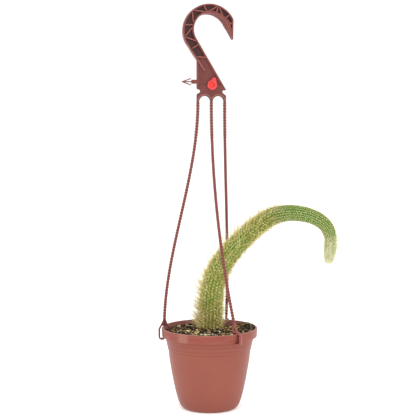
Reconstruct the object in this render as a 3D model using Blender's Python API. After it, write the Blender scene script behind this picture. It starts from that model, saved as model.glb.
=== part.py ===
"""Monkey tail cactus in a hanging plastic pot, with a moulded three-strand hanger.

Metres, +Z up. The origin is the centre of the pot's underside, and -Y is the front.
"""
import math
import random

import bmesh
import bpy
from mathutils import Matrix, Vector, noise

MM = 0.001
GAP = 0.3 * MM

# Pot
POT_SEGMENTS = 40
POT_HEIGHT = 97.0 * MM
RIM_RADIUS = 57.5 * MM
RIM_BAND_HEIGHT = 10.3 * MM
RIM_BAND_DRAFT = 0.5 * MM
RIM_LIP_WIDTH = 2.3 * MM
RIM_EDGE_BEVEL = 0.6 * MM
RIM_INNER_BEVEL = 0.4 * MM
RIM_INNER_DRAFT = 0.3 * MM
RIM_LEDGE_LOW = 1.0 * MM
RIM_LEDGE_HIGH = 1.6 * MM
BODY_TOP_RADIUS = 52.8 * MM
BODY_FOOT_RADIUS = 33.2 * MM
BASE_RADIUS = 31.2 * MM
BASE_CHAMFER_HEIGHT = 1.6 * MM
BASE_THICKNESS = 2.2 * MM
WALL = 1.7 * MM
TAPER_TOP_HEIGHT = 60.0 * MM
TAPER_TOP_RADIUS = 48.3 * MM
TAPER_POWER = 0.6
OUTER_HEIGHTS = (7.0 * MM, 16.0 * MM, 28.0 * MM, 43.0 * MM, TAPER_TOP_HEIGHT)
INNER_HEIGHTS = (BASE_THICKNESS, 16.0 * MM, 40.0 * MM, TAPER_TOP_HEIGHT)
STEP_HEIGHTS = (71.2 * MM, 75.2 * MM, 80.3 * MM)
STEP_DEPTH = 0.5 * MM
STEP_RISE = 0.4 * MM
DRAIN_HOLE_RADIUS = 3.0 * MM
DRAIN_HOLE_CIRCLE = 19.0 * MM
DRAIN_HOLE_COUNT = 4
DRAIN_HOLE_SIDES = 12

# Soil
SOIL_LEVEL = 91.3 * MM
SOIL_ROUGHNESS = 0.9 * MM
SOIL_GRAIN = 7.0 * MM
SOIL_RINGS = 5
SOIL_LUMPS = 30
SOIL_LUMP_SIZE = (1.4 * MM, 2.7 * MM)
LUMP_SHAPE = (1.6, 1.0, 0.9)
LUMP_TO_WALL = 5.0 * MM
LUMP_TO_STEM = 6.0 * MM
CLIP_CLEAR_BEARING = 14.0
CLIP_CLEAR_RADIUS = 38.0 * MM
STEM_MOUND = 3.6 * MM
STEM_MOUND_WIDTH = 26.0 * MM
RIGHT_BANK = 8.0 * MM
RIGHT_BANK_AZIMUTH = 14.0
RIGHT_BANK_SPREAD = 22.0
RIGHT_BANK_RADIUS = 48.0 * MM
RIGHT_BANK_WIDTH = 11.0 * MM
BACK_HOLLOW = 2.6 * MM
BACK_HOLLOW_AZIMUTH = 66.0
BACK_HOLLOW_SPREAD = 24.0

# Cactus stem: its centre line in the leaning plane, from the root end to the tip
STEM_FOOT = (1.0 * MM, 14.0 * MM)
STEM_BOTTOM = 66.0 * MM
STEM_TIP_Y = 5.0 * MM
STEM_BENDS_MM = (
    (0.0, 97.0), (2.3, 137.5), (9.0, 162.5), (24.2, 185.6), (39.4, 202.0), (56.6, 218.0), (73.4, 229.2),
    (88.0, 233.3), (103.5, 233.7), (119.0, 230.6), (131.4, 224.8), (140.0, 216.4), (143.7, 206.0),
    (144.0, 195.0), (143.0, 184.0), (142.0, 173.8),
)
STEM_BASE_RADIUS = 14.0 * MM
STEM_TIP_RADIUS = 6.2 * MM
STEM_SHRINK_POWER = 1.6
STEM_CAP_LENGTH = 20.0 * MM
STEM_CAP_POWER = 2.2
STEM_CAP_FLAT = 0.5 * MM
STEM_RINGS = 50
STEM_CURVE_PARTS = 16
RIB_COUNT = 20
RIB_FADE = 0.03
RIB_DEPTH = 1.0 * MM
AREOLE_RISE = 0.45 * MM
SEAM_AT = 0.47
SEAM_STEP = 0.6 * MM
SEAM_FADE = 0.2
SPINE_ROWS = 24
SPINES_A_ROW = 6
SPINES_END = 0.978
SPINE_ROOT_RADIUS = 0.38 * MM
SPINE_TIP_RADIUS = 0.07 * MM
SPINE_SUNK = 1.2 * MM
SPINE_ROOT_DEPTH = 0.6 * MM
SPINE_BETWEEN_RINGS = 0.55
SPINE_OFF_CREST = 0.03
SPINE_SCATTER = 0.2
SPINE_SWAY = 0.12
SPINE_LENGTH = (3.2 * MM, 5.4 * MM)
FOOT_SPINE_EXTRA = 3.0 * MM
FOOT_SPINE_END = 0.3
SPINE_LEAN = 0.55
TIP_SPINE_START = 0.88
TIP_SPINE_LEAN = 1.5

# Hanger, in its own plane: u runs to the right, v to the back, z up
HANGER_YAW = 11.0
HOOK_DEPTH = 8.5 * MM
HOOK_WEB = 1.8 * MM
HOOK_OUTER_CENTRE = (-0.4 * MM, 449.2 * MM)
HOOK_OUTER_RADIUS = 31.7 * MM
HOOK_CORNER_ANGLE = 27.0
SHANK_ANGLE = 205.0
THROAT_CENTRE = (1.0 * MM, 450.9 * MM)
THROAT_RADIUS = 20.3 * MM
THROAT_ROOF_CENTRE = (-1.4 * MM, 442.5 * MM)
THROAT_ROOF_RADIUS = 28.4 * MM
THROAT_START_ANGLE = 211.0
THROAT_TOP_ANGLE = 101.0
THROAT_ROOF_START = 84.0
THROAT_END_ANGLE = 34.0
HOOK_TIP = (27.1 * MM, 439.4 * MM)
HOOK_TIP_WIDTH = 1.5 * MM
HOOK_TIP_INSIDE = ((22.9 * MM, 453.0 * MM), (26.3 * MM, 440.6 * MM))
HOOK_FRONT_CORNER = (28.1 * MM, 461.9 * MM)
OUTER_BAND = 1.8 * MM
INNER_BAND = 1.9 * MM
BAND_STANDS_OVER_RIBS = 0.3 * MM
CHANNEL_START_ANGLE = 21.0
CHANNEL_TIP = (26.3 * MM, 451.0 * MM)
CHANNEL_FOOT = (-15.9 * MM, 420.0 * MM)
CHANNEL_FLANGE = 2.2 * MM
TRUSS_RIB_WIDTH = 1.3 * MM
TRUSS_RIBS_MM = (
    ((18.6, 461.6), (26.6, 457.7)), ((17.2, 463.9), (23.0, 468.0)), ((15.4, 466.0), (11.5, 476.6)),
    ((7.6, 470.0), (9.5, 477.4)), ((-1.9, 471.8), (8.3, 477.9)), ((-3.9, 471.5), (-7.2, 479.2)),
    ((-6.8, 471.4), (-20.2, 473.2)), ((-19.9, 459.4), (-21.1, 471.2)), ((-20.0, 456.0), (-30.4, 456.1)),
    ((-20.7, 453.4), (-29.2, 443.1)), ((-17.0, 437.6), (-29.0, 441.6)), ((-13.4, 433.5), (-21.4, 428.6)),
    ((-15.4, 418.9), (-4.6, 418.4)),
)
SADDLE_DROPS = (0.3 * MM, 2.1 * MM, 5.6 * MM, 2.4 * MM)
SADDLE_SUNK = 0.8 * MM
SADDLE_TIP = ((23.7 * MM, 450.0 * MM), (26.4 * MM, 441.0 * MM))

PLATE_DEPTH = 3.6 * MM
PLATE_WEB = 2.6 * MM
PLATE_LEFT = -15.4 * MM
PLATE_SHOULDER = 415.8 * MM
PLATE_TAPER_TOP = 418.0 * MM
PLATE_TAPER_LOW = 384.0 * MM
PLATE_TAPER_END = 350.0 * MM
PLATE_RIGHT_FOOT = (18.8 * MM, 382.2 * MM)
PLATE_FLANGE = 2.4 * MM
PLATE_FLANGE_SLANT = 31.0
POCKET_BORDER = 2.0 * MM
POCKET_LOW = 386.0 * MM
POCKET_CORNER = (4.0 * MM, 5.0 * MM)
POCKET_TOP = 417.6 * MM
LONG_RIB = ((-15.6 * MM, 417.2 * MM), (-6.2 * MM, 402.6 * MM))
LONG_RIB_WIDTH = 2.2 * MM
LONG_RIB_DEPTH = 5.8 * MM
NOTCH_HEIGHT = 378.7 * MM
NOTCH_RADIUS = 2.05 * MM
LEFT_NOTCH_ENDS = (3.9 * MM, 3.3 * MM)
RIGHT_NOTCH_CENTRE = (-2.4 * MM, -0.5 * MM)
RIGHT_NOTCH_POINTS = ((0.0, -5.0 * MM), (-0.8 * MM, 1.2 * MM), (0.0, 2.2 * MM))
STRAND_TOP = 362.0 * MM
STRAND_WIDTH = 2.9 * MM
STRAND_PLACES = (-14.0 * MM, 2.2 * MM, 18.3 * MM)
ARCH_SPRING = 366.6 * MM
ARCH_BEAD = 1.65 * MM
ARCH_BEAD_RISE = 0.5 * MM
ARCH_BEAD_INSET = 0.05 * MM
BARB_TIP = (-33.1 * MM, 389.9 * MM)
BARB_SHAFT_END = -20.0 * MM
BARB_SPAN = 3.8 * MM
BARB_WIDTH = 1.2 * MM
BARB_WING_BACK = 2.3 * MM
BARB_WING_FRONT = 0.4 * MM
BARB_BLOCK = (-21.7 * MM, -13.5 * MM, 387.6 * MM, 392.3 * MM)
BARB_BLOCK_THICKNESS = 2.9 * MM

# Strands and clips
CLIP_AZIMUTHS = (188.0, -58.0, 67.2)
CLIP_APEX_RADIUS = 54.3 * MM
CLIP_APEX_HEIGHT = 108.5 * MM
STRAND_CORNER_RADIUS = 1.68 * MM
STRAND_STEP = 3.0 * MM
STRAND_LANDING = ((0.2, 0.3), (2.0, 0.3), (-2.1, 0.3))
STRAND_OVERLAP = 3.0 * MM
OUTER_STRAP_MM = ((54.3, 109.5), (55.9, 105.0), (59.0, 99.0), (60.4, 95.6))
INNER_LEG_MM = ((54.0, 109.5), (52.4, 105.0), (50.9, 100.0), (47.0, 95.4))
CLIP_WEB_MM = (
    (54.2, 108.0), (52.0, 104.0), (50.6, 99.6), (52.6, 99.2), (55.4, 100.2), (58.6, 98.4), (59.2, 99.2),
)
OUTER_STRAP_WIDTHS = (2.9 * MM, 3.3 * MM, 4.8 * MM)
INNER_LEG_WIDTHS = (2.9 * MM, 3.2 * MM, 4.4 * MM, 4.4 * MM)
STRAP_THICKNESS = 2.1 * MM
STRAP_WIDTH = 5.8 * MM
FOOT_BEND = 2.2 * MM
FOOT_END_RADIUS = 54.9 * MM
CLIP_WEB = 2.0 * MM

# Red plug
PLUG_CENTRE = (2.6 * MM, 386.2 * MM)
PLUG_RADIUS = 5.8 * MM
LOBE_CENTRE = (4.9 * MM, 392.6 * MM)
LOBE_RADIUS = 2.8 * MM
PLUG_HEAD = 2.4 * MM
PLUG_SHANK_RADIUS = 2.8 * MM
PLUG_HOLE_RADIUS = 2.2 * MM
PLUG_HOLE_DEPTH = 1.6 * MM
PLUG_HOLE_SHIFT = (0.7 * MM, 0.3 * MM)
PLUG_SHANK_SUNK = 0.5 * MM


def clear_scene():
    """Empty the scene."""
    for old_object in list(bpy.data.objects):
        bpy.data.objects.remove(old_object, do_unlink=True)


def plastic(name, colour, roughness):
    """A Principled material."""
    material = bpy.data.materials.new(name)
    material.use_nodes = True
    shader = material.node_tree.nodes["Principled BSDF"]
    shader.inputs["Base Color"].default_value = (*colour, 1.0)
    shader.inputs["Roughness"].default_value = roughness
    shader.inputs["Metallic"].default_value = 0.0
    material.diffuse_color = (*colour, 1.0)
    return material


def add_object(name, bm, material=None, collection=None):
    """Turn a bmesh into a named object."""
    bmesh.ops.recalc_face_normals(bm, faces=bm.faces)
    mesh = bpy.data.meshes.new(name)
    bm.to_mesh(mesh)
    bm.free()
    if material:
        mesh.materials.append(material)
    made = bpy.data.objects.new(name, mesh)
    (collection or bpy.context.scene.collection).objects.link(made)
    return made


def combine(target, tools, operation):
    """Join or cut the target with every object of a collection, then drop them."""
    modifier = target.modifiers.new(operation.title(), 'BOOLEAN')
    modifier.operation = operation
    modifier.operand_type = 'COLLECTION'
    modifier.collection = tools
    modifier.solver = 'EXACT'
    bpy.context.view_layer.update()
    with bpy.context.temp_override(object=target, active_object=target):
        bpy.ops.object.modifier_apply(modifier=modifier.name)
    for tool in list(tools.objects):
        bpy.data.objects.remove(tool, do_unlink=True)
    bpy.data.collections.remove(tools)
    cut_to_triangles(target.data)


def cut_to_triangles(mesh):
    """Cut every face into triangles."""
    bm = bmesh.new()
    bm.from_mesh(mesh)
    bmesh.ops.triangulate(bm, faces=bm.faces)
    bm.to_mesh(mesh)
    bm.free()


def tool_collection(name):
    """A collection for the solids of one Boolean."""
    tools = bpy.data.collections.new(name)
    bpy.context.scene.collection.children.link(tools)
    return tools


def shade(made, angle):
    """Smooth shading with edges kept where they are sharper than the angle."""
    made.data.shade_smooth()
    made.data.set_sharp_from_angle(angle=math.radians(angle))


def arc(centre, radius, start, end, steps):
    """Points on an arc, with its angles in degrees."""
    points = []
    for step in range(steps + 1):
        angle = math.radians(start + (end - start) * step / steps)
        points.append((centre[0] + radius * math.cos(angle), centre[1] + radius * math.sin(angle)))
    return points


def loft(rings):
    """A closed skin over rings that have the same number of points."""
    bm = bmesh.new()
    loops = [[bm.verts.new(point) for point in ring] for ring in rings]
    count = len(loops[0])
    for low, high in zip(loops, loops[1:]):
        for index in range(count):
            following = (index + 1) % count
            bm.faces.new((low[index], low[following], high[following], high[index]))
    bm.faces.new(reversed(loops[0]))
    bm.faces.new(loops[-1])
    return bm


def hanger_frame():
    """The matrix that turns the hanger's plane to the pot's axes."""
    return Matrix.Rotation(math.radians(HANGER_YAW), 4, 'Z')


def plate_prism(outline, v_low, v_high):
    """A flat outline in (u, z), made solid between two depths."""
    frame = hanger_frame()
    front = [frame @ Vector((u, v_low, z)) for u, z in outline]
    back = [frame @ Vector((u, v_high, z)) for u, z in outline]
    return loft([front, back])


def bar(start, end, width, v_low, v_high):
    """A straight bar between two places in the hanger's plane."""
    along = (Vector(end) - Vector(start)).normalized()
    side = Vector((-along.y, along.x)) * width / 2
    corners = [Vector(start) + side, Vector(end) + side, Vector(end) - side, Vector(start) - side]
    return plate_prism([tuple(corner) for corner in corners], v_low, v_high)


# Pot


def taper_radius(height):
    """Outer radius of the smooth lower wall."""
    share = max(0.0, (height - BASE_CHAMFER_HEIGHT) / (TAPER_TOP_HEIGHT - BASE_CHAMFER_HEIGHT))
    return BODY_FOOT_RADIUS + (TAPER_TOP_RADIUS - BODY_FOOT_RADIUS) * share ** TAPER_POWER


def stepped_radius(height, steps_below):
    """Outer radius of the upper wall at a height that has a number of steps below it."""
    growth = BODY_TOP_RADIUS - TAPER_TOP_RADIUS - len(STEP_HEIGHTS) * STEP_DEPTH
    slope = growth / (POT_HEIGHT - RIM_BAND_HEIGHT - TAPER_TOP_HEIGHT)
    return TAPER_TOP_RADIUS + slope * (height - TAPER_TOP_HEIGHT) + steps_below * STEP_DEPTH


def pot_outside():
    """Outer profile, from the base to the top of the rim."""
    profile = [(BASE_RADIUS, 0.0), (BODY_FOOT_RADIUS, BASE_CHAMFER_HEIGHT)]
    for height in OUTER_HEIGHTS:
        profile.append((taper_radius(height), height))
    for index, height in enumerate(STEP_HEIGHTS):
        profile.append((stepped_radius(height, index), height))
        profile.append((stepped_radius(height + STEP_RISE, index + 1), height + STEP_RISE))
    band_low = POT_HEIGHT - RIM_BAND_HEIGHT
    profile.append((BODY_TOP_RADIUS, band_low))
    profile.append((RIM_RADIUS - RIM_BAND_DRAFT, band_low))
    profile.append((RIM_RADIUS, POT_HEIGHT - RIM_EDGE_BEVEL))
    profile.append((RIM_RADIUS - RIM_EDGE_BEVEL, POT_HEIGHT))
    return profile


def pot_inside(offset=0.0):
    """Inner profile, from the floor to the top of the rim, moved inwards by the offset."""
    band_low = POT_HEIGHT - RIM_BAND_HEIGHT
    profile = []
    for height in INNER_HEIGHTS:
        profile.append((taper_radius(height) - WALL - offset, max(height, BASE_THICKNESS + offset)))
    profile.append((stepped_radius(STEP_HEIGHTS[0], 0) - WALL - offset, STEP_HEIGHTS[0]))
    lip = RIM_RADIUS - RIM_LIP_WIDTH - offset
    profile.append((BODY_TOP_RADIUS - WALL - offset, band_low - RIM_LEDGE_LOW))
    profile.append((lip - RIM_INNER_DRAFT, band_low + RIM_LEDGE_HIGH))
    profile.append((lip, POT_HEIGHT - RIM_INNER_BEVEL))
    return profile


def ring(radius, height, centre=(0.0, 0.0), count=POT_SEGMENTS):
    """A level ring of points."""
    points = []
    for index in range(count):
        angle = 2 * math.pi * index / count
        x = centre[0] + radius * math.cos(angle)
        points.append((x, centre[1] + radius * math.sin(angle), height))
    return points


def make_pot(material):
    """The pot's turned wall, with its drain holes cut."""
    rings = [ring(radius, height) for radius, height in pot_outside()]
    rings.append(ring(RIM_RADIUS - RIM_LIP_WIDTH + RIM_INNER_BEVEL, POT_HEIGHT))
    rings += [ring(radius, height) for radius, height in reversed(pot_inside())]
    pot = add_object("pot", loft(rings), material)
    holes = tool_collection("drain_holes")
    for index in range(DRAIN_HOLE_COUNT):
        angle = 2 * math.pi * (index + 0.5) / DRAIN_HOLE_COUNT
        x = DRAIN_HOLE_CIRCLE * math.cos(angle)
        y = DRAIN_HOLE_CIRCLE * math.sin(angle)
        low = ring(DRAIN_HOLE_RADIUS, -BASE_THICKNESS, (x, y), DRAIN_HOLE_SIDES)
        high = ring(DRAIN_HOLE_RADIUS, 2 * BASE_THICKNESS, (x, y), DRAIN_HOLE_SIDES)
        add_object("drain_hole", loft([low, high]), None, holes)
    combine(pot, holes, 'DIFFERENCE')
    shade(pot, 30)
    return pot


# Cactus stem


def spline(points, steps):
    """Even points on a smooth curve through the given points."""
    ends = [2 * points[0] - points[1], *points, 2 * points[-1] - points[-2]]
    dense = []
    for before, start, end, after in zip(ends, ends[1:], ends[2:], ends[3:]):
        for part in range(STEM_CURVE_PARTS):
            t = part / STEM_CURVE_PARTS
            curve = 2 * start + (end - before) * t
            curve += (2 * before - 5 * start + 4 * end - after) * t ** 2
            curve += (3 * start - before - 3 * end + after) * t ** 3
            dense.append(curve / 2)
    dense.append(points[-1])
    lengths = [0.0]
    for start, end in zip(dense, dense[1:]):
        lengths.append(lengths[-1] + (end - start).length)
    even = []
    index = 0
    for step in range(steps + 1):
        wanted = lengths[-1] * step / steps
        while index < len(lengths) - 2 and lengths[index + 1] < wanted:
            index += 1
        share = (wanted - lengths[index]) / (lengths[index + 1] - lengths[index])
        even.append(dense[index].lerp(dense[index + 1], share))
    return even, lengths[-1]


def stem_line(steps):
    """The stem's centre line above and below the soil, with its length."""
    height = STEM_BENDS_MM[0][1]
    reach = STEM_BENDS_MM[-1][0]
    points = [Vector((STEM_FOOT[0], STEM_FOOT[1], STEM_BOTTOM))]
    for across, up in STEM_BENDS_MM:
        y = STEM_FOOT[1] + (STEM_TIP_Y - STEM_FOOT[1]) * across / reach
        points.append(Vector((STEM_FOOT[0] + across * MM, y, up * MM)))
    return spline(points, steps)


def stem_radius(share, length):
    """Radius at the rib crests, at a share of the stem's length."""
    radius = STEM_BASE_RADIUS + (STEM_TIP_RADIUS - STEM_BASE_RADIUS) * share ** STEM_SHRINK_POWER
    if share > SEAM_AT:
        radius -= SEAM_STEP * max(0.0, 1 - (share - SEAM_AT) / SEAM_FADE)
    left = (1 - share) * length
    if left < STEM_CAP_LENGTH:
        radius *= math.sqrt(max(0.0, 1 - (1 - left / STEM_CAP_LENGTH) ** STEM_CAP_POWER))
    return max(radius, STEM_CAP_FLAT)


def stem_axes(line, index):
    """Tangent, side and top of the stem at one point of its line."""
    before = line[max(index - 1, 0)]
    after = line[min(index + 1, len(line) - 1)]
    tangent = (after - before).normalized()
    side = Vector((0, 1, 0)).cross(tangent).normalized()
    return tangent, side, tangent.cross(side)


def stem_rings(line, length):
    """Rings of the ribbed stem, with the areoles as alternate rises along each rib."""
    rings = []
    ground = (SOIL_LEVEL + STEM_MOUND - STEM_BOTTOM) / length
    for index, centre in enumerate(line):
        share = index / (len(line) - 1)
        radius = stem_radius(share, length)
        tangent, side, top = stem_axes(line, index)
        above = min(1.0, max(0.0, (share - ground) / RIB_FADE))
        depth = RIB_DEPTH * above * radius / STEM_BASE_RADIUS
        rise = AREOLE_RISE * above * radius / STEM_BASE_RADIUS
        points = []
        for corner in range(2 * RIB_COUNT):
            angle = math.pi * corner / RIB_COUNT
            crest = corner % 2 == 0
            areole = crest and (index + corner // 2) % 2 == 0
            reach = radius - (0 if areole else rise) - (0 if crest else depth)
            points.append(centre + reach * (math.cos(angle) * side + math.sin(angle) * top))
        rings.append(points)
    return rings


def spine(root, direction, length):
    """One three-sided spine, with its root sunk into the stem."""
    side = direction.orthogonal().normalized()
    other = direction.cross(side)
    rings = []
    for distance, radius in ((-SPINE_SUNK, SPINE_ROOT_RADIUS), (length, SPINE_TIP_RADIUS)):
        points = []
        for corner in range(3):
            angle = 2 * math.pi * corner / 3
            offset = radius * (math.cos(angle) * side + math.sin(angle) * other)
            points.append(root + distance * direction + offset)
        rings.append(points)
    return loft(rings)


def add_spines(line, length, spines):
    """Spines in even rows round the stem, from the soil to the tip."""
    draw = random.Random(11)
    first = (SOIL_LEVEL + STEM_MOUND + 5 * MM - STEM_BOTTOM) / length
    for row in range(SPINE_ROWS):
        share = first + (SPINES_END - first) * row / (SPINE_ROWS - 1)
        index = int(share * (len(line) - 1))
        tangent, side, top = stem_axes(line, index)
        centre = line[index].lerp(line[index + 1], SPINE_BETWEEN_RINGS)
        radius = stem_radius((index + SPINE_BETWEEN_RINGS) / (len(line) - 1), length)
        lean = SPINE_LEAN + TIP_SPINE_LEAN * max(0.0, share - TIP_SPINE_START) / (1 - TIP_SPINE_START)
        for place in range(SPINES_A_ROW):
            scatter = draw.uniform(-SPINE_SCATTER, SPINE_SCATTER)
            rib = round((place + 0.5 * (row % 2) + scatter) / SPINES_A_ROW * RIB_COUNT)
            angle = 2 * math.pi * rib / RIB_COUNT + SPINE_OFF_CREST
            outward = math.cos(angle) * side + math.sin(angle) * top
            sway = draw.uniform(-SPINE_SWAY, SPINE_SWAY)
            direction = (outward + lean * tangent + sway * side).normalized()
            reach = draw.uniform(*SPINE_LENGTH)
            if share < FOOT_SPINE_END and outward.x < 0:
                reach += FOOT_SPINE_EXTRA * -outward.x
            root = centre + (radius - SPINE_ROOT_DEPTH) * outward
            add_object("spine", spine(root, direction, reach), None, spines)


def make_stem(material):
    """The ribbed stem with its spines fused on."""
    line, length = stem_line(STEM_RINGS)
    stem = add_object("cactus_stem", loft(stem_rings(line, length)), material)
    spines = tool_collection("spines")
    add_spines(line, length, spines)
    combine(stem, spines, 'UNION')
    shade(stem, 40)
    return stem


# Soil


def bearing_gap(first, second):
    """Smallest difference between two bearings in degrees."""
    return abs((first - second + 180) % 360 - 180)


def soil_height(x, y):
    """Height of the soil's uneven top."""
    away = math.hypot(x, y)
    bearing = math.degrees(math.atan2(y, x))
    from_stem = math.hypot(x - STEM_FOOT[0], y - STEM_FOOT[1])
    height = SOIL_LEVEL + STEM_MOUND * math.exp(-(from_stem / STEM_MOUND_WIDTH) ** 2)
    bank = math.exp(-(bearing_gap(bearing, RIGHT_BANK_AZIMUTH) / RIGHT_BANK_SPREAD) ** 2)
    bank *= math.exp(-((away - RIGHT_BANK_RADIUS) / RIGHT_BANK_WIDTH) ** 2)
    hollow = math.exp(-(bearing_gap(bearing, BACK_HOLLOW_AZIMUTH) / BACK_HOLLOW_SPREAD) ** 2)
    hollow *= (away / RIM_RADIUS) ** 2
    height += RIGHT_BANK * bank - BACK_HOLLOW * hollow
    return height + SOIL_ROUGHNESS * noise.noise(Vector((x, y, 0)) / SOIL_GRAIN)


def soil_top_ring(share, hole_radius, edge_radius):
    """One ring of the soil's top, between the stem's hole and the pot's wall."""
    radius = hole_radius + (edge_radius - hole_radius) * share
    centre = (STEM_FOOT[0] * (1 - share), STEM_FOOT[1] * (1 - share))
    return [(x, y, soil_height(x, y)) for x, y, level in ring(radius, 0.0, centre)]


def near_clip(bearing, away):
    """True where a rim clip reaches over the soil."""
    gaps = [bearing_gap(bearing, clip) for clip in CLIP_AZIMUTHS]
    return min(gaps) < CLIP_CLEAR_BEARING and away > CLIP_CLEAR_RADIUS


def add_lumps(hole_radius, edge_radius, lumps):
    """Lumps of bark and perlite that stand half out of the soil."""
    draw = random.Random(5)
    while len(lumps.objects) < SOIL_LUMPS:
        angle = draw.uniform(0, 2 * math.pi)
        away = (edge_radius - LUMP_TO_WALL) * math.sqrt(draw.random())
        x = away * math.cos(angle)
        y = away * math.sin(angle)
        size = draw.uniform(*SOIL_LUMP_SIZE)
        turn = Matrix.Rotation(draw.uniform(0, 3), 4, 'Z') @ Matrix.Rotation(draw.uniform(0, 1), 4, 'X')
        from_stem = math.hypot(x - STEM_FOOT[0], y - STEM_FOOT[1])
        if from_stem < hole_radius + LUMP_TO_STEM or near_clip(math.degrees(angle), away):
            continue
        bm = bmesh.new()
        bmesh.ops.create_cube(bm, size=size)
        place = Matrix.Translation((x, y, soil_height(x, y))) @ turn @ Matrix.Diagonal((*LUMP_SHAPE, 1))
        bmesh.ops.transform(bm, matrix=place, verts=bm.verts)
        add_object("lump", bm, None, lumps)


def make_soil(material):
    """The filled soil with a blind hole for the stem and fused lumps of bark and perlite."""
    inside = pot_inside(GAP)
    hole_radius = STEM_BASE_RADIUS + GAP
    edge_radius = inside[-1][0]
    rings = [ring(hole_radius, STEM_BOTTOM - GAP, STEM_FOOT)]
    for step in range(SOIL_RINGS + 1):
        rings.append(soil_top_ring(step / SOIL_RINGS, hole_radius, edge_radius))
    rings += [ring(radius, height) for radius, height in reversed(inside[:-1])]
    soil = add_object("soil", loft(rings), material)
    lumps = tool_collection("lumps")
    add_lumps(hole_radius, edge_radius, lumps)
    combine(soil, lumps, 'UNION')
    shade(soil, 35)
    return soil


# Hanger


def hook_outline():
    """Outline of the hook and plate, anticlockwise from the corner above the hook's tip."""
    points = arc(HOOK_OUTER_CENTRE, HOOK_OUTER_RADIUS, HOOK_CORNER_ANGLE, SHANK_ANGLE, 26)
    points += [(PLATE_LEFT - 0.6 * MM, PLATE_SHOULDER), (PLATE_LEFT, PLATE_SHOULDER - 2.5 * MM)]
    points += [(PLATE_LEFT, NOTCH_HEIGHT + LEFT_NOTCH_ENDS[1])]
    points += arc((PLATE_LEFT + NOTCH_RADIUS, NOTCH_HEIGHT), NOTCH_RADIUS, 100, -100, 6)
    points += [(PLATE_LEFT, NOTCH_HEIGHT - LEFT_NOTCH_ENDS[0])]
    half = STRAND_WIDTH / 2
    points += [(STRAND_PLACES[0] - half, STRAND_TOP), (STRAND_PLACES[0] + half, STRAND_TOP)]
    for left, right in zip(STRAND_PLACES, STRAND_PLACES[1:]):
        radius = (right - left) / 2 - half
        points += arc(((left + right) / 2, ARCH_SPRING), radius, 180, 0, 10)
        points += [(right - half, STRAND_TOP), (right + half, STRAND_TOP)]
    right_side = STRAND_PLACES[2] + half
    low, middle, high = [(right_side + u, NOTCH_HEIGHT + z) for u, z in RIGHT_NOTCH_POINTS]
    notch = (right_side + RIGHT_NOTCH_CENTRE[0], NOTCH_HEIGHT + RIGHT_NOTCH_CENTRE[1])
    points += [low, *arc(notch, NOTCH_RADIUS, 235, 105, 5), middle, high, PLATE_RIGHT_FOOT]
    points += arc(THROAT_CENTRE, THROAT_RADIUS, THROAT_START_ANGLE, THROAT_TOP_ANGLE, 14)
    points += arc(THROAT_ROOF_CENTRE, THROAT_ROOF_RADIUS, THROAT_ROOF_START, THROAT_END_ANGLE, 7)
    points += HOOK_TIP_INSIDE
    half_tip = HOOK_TIP_WIDTH / 2
    points += arc((HOOK_TIP[0], HOOK_TIP[1] + half_tip), half_tip, 200, 350, 4)
    return points + [HOOK_FRONT_CORNER]


def diagonal(height, inset=0.0):
    """Place of the plate's slanted right edge at a height, moved inwards."""
    foot = PLATE_RIGHT_FOOT
    head = arc(THROAT_CENTRE, THROAT_RADIUS, THROAT_START_ANGLE, THROAT_START_ANGLE, 1)[0]
    share = (height - foot[1]) / (head[1] - foot[1])
    return foot[0] + (head[0] - foot[0]) * share - inset / math.cos(math.radians(PLATE_FLANGE_SLANT))


def channel_outline():
    """The pocket between the hook's outer and inner bands, from the tip to the plate."""
    points = arc(HOOK_OUTER_CENTRE, HOOK_OUTER_RADIUS - OUTER_BAND, CHANNEL_START_ANGLE, SHANK_ANGLE, 24)
    points += [CHANNEL_FOOT, (diagonal(CHANNEL_FOOT[1], CHANNEL_FLANGE), CHANNEL_FOOT[1])]
    points += arc(THROAT_CENTRE, THROAT_RADIUS + INNER_BAND, THROAT_START_ANGLE - 2, THROAT_TOP_ANGLE + 1, 12)
    points += arc(THROAT_ROOF_CENTRE, THROAT_ROOF_RADIUS + INNER_BAND, THROAT_ROOF_START, THROAT_END_ANGLE, 6)
    return points + [CHANNEL_TIP]


def plate_pocket_outline():
    """The shallow pocket in the upper part of the plate."""
    left = PLATE_LEFT + POCKET_BORDER
    across, up = POCKET_CORNER
    points = [(left, POCKET_TOP), (left, POCKET_LOW)]
    points += [(diagonal(POCKET_LOW, PLATE_FLANGE) - across, POCKET_LOW)]
    points += [(diagonal(POCKET_LOW + up, PLATE_FLANGE), POCKET_LOW + up)]
    return points + [(diagonal(POCKET_TOP, PLATE_FLANGE), POCKET_TOP)]


def throat_front_edge():
    """Front edge of the throat's roof, out to the tip."""
    points = arc(THROAT_CENTRE, THROAT_RADIUS, THROAT_TOP_ANGLE + 23, THROAT_TOP_ANGLE, 2)
    points += arc(THROAT_ROOF_CENTRE, THROAT_ROOF_RADIUS, THROAT_ROOF_START, THROAT_END_ANGLE, 6)
    return [*points, *SADDLE_TIP]


def saddle_drops(count):
    """How far the seat's back edge lies below its front edge, from the shank to the tip."""
    first, crown, last, wedge = SADDLE_DROPS
    roof = count - 3 - len(SADDLE_TIP)
    drops = [first, (first + crown) / 2, crown]
    drops += [crown + (last - crown) * (step + 1) / roof for step in range(roof)]
    return drops + [wedge, first]


def saddle():
    """The slanted seat under the hook's roof, deeper at the back and towards the tip."""
    frame = hanger_frame()
    edge = throat_front_edge()
    back = HOOK_DEPTH / 2 - BAND_STANDS_OVER_RIBS
    rings = []
    for (u, z), drop in zip(edge, saddle_drops(len(edge))):
        towards = (Vector(THROAT_ROOF_CENTRE) - Vector((u, z))).normalized()
        inner = Vector((u, z)) - SADDLE_SUNK * towards
        low = Vector((u, z)) + drop * towards
        ring_points = [(inner, -back), (inner, back), (low, back)]
        rings.append([frame @ Vector((place.x, v, place.y)) for place, v in ring_points])
    return loft(rings)


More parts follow.
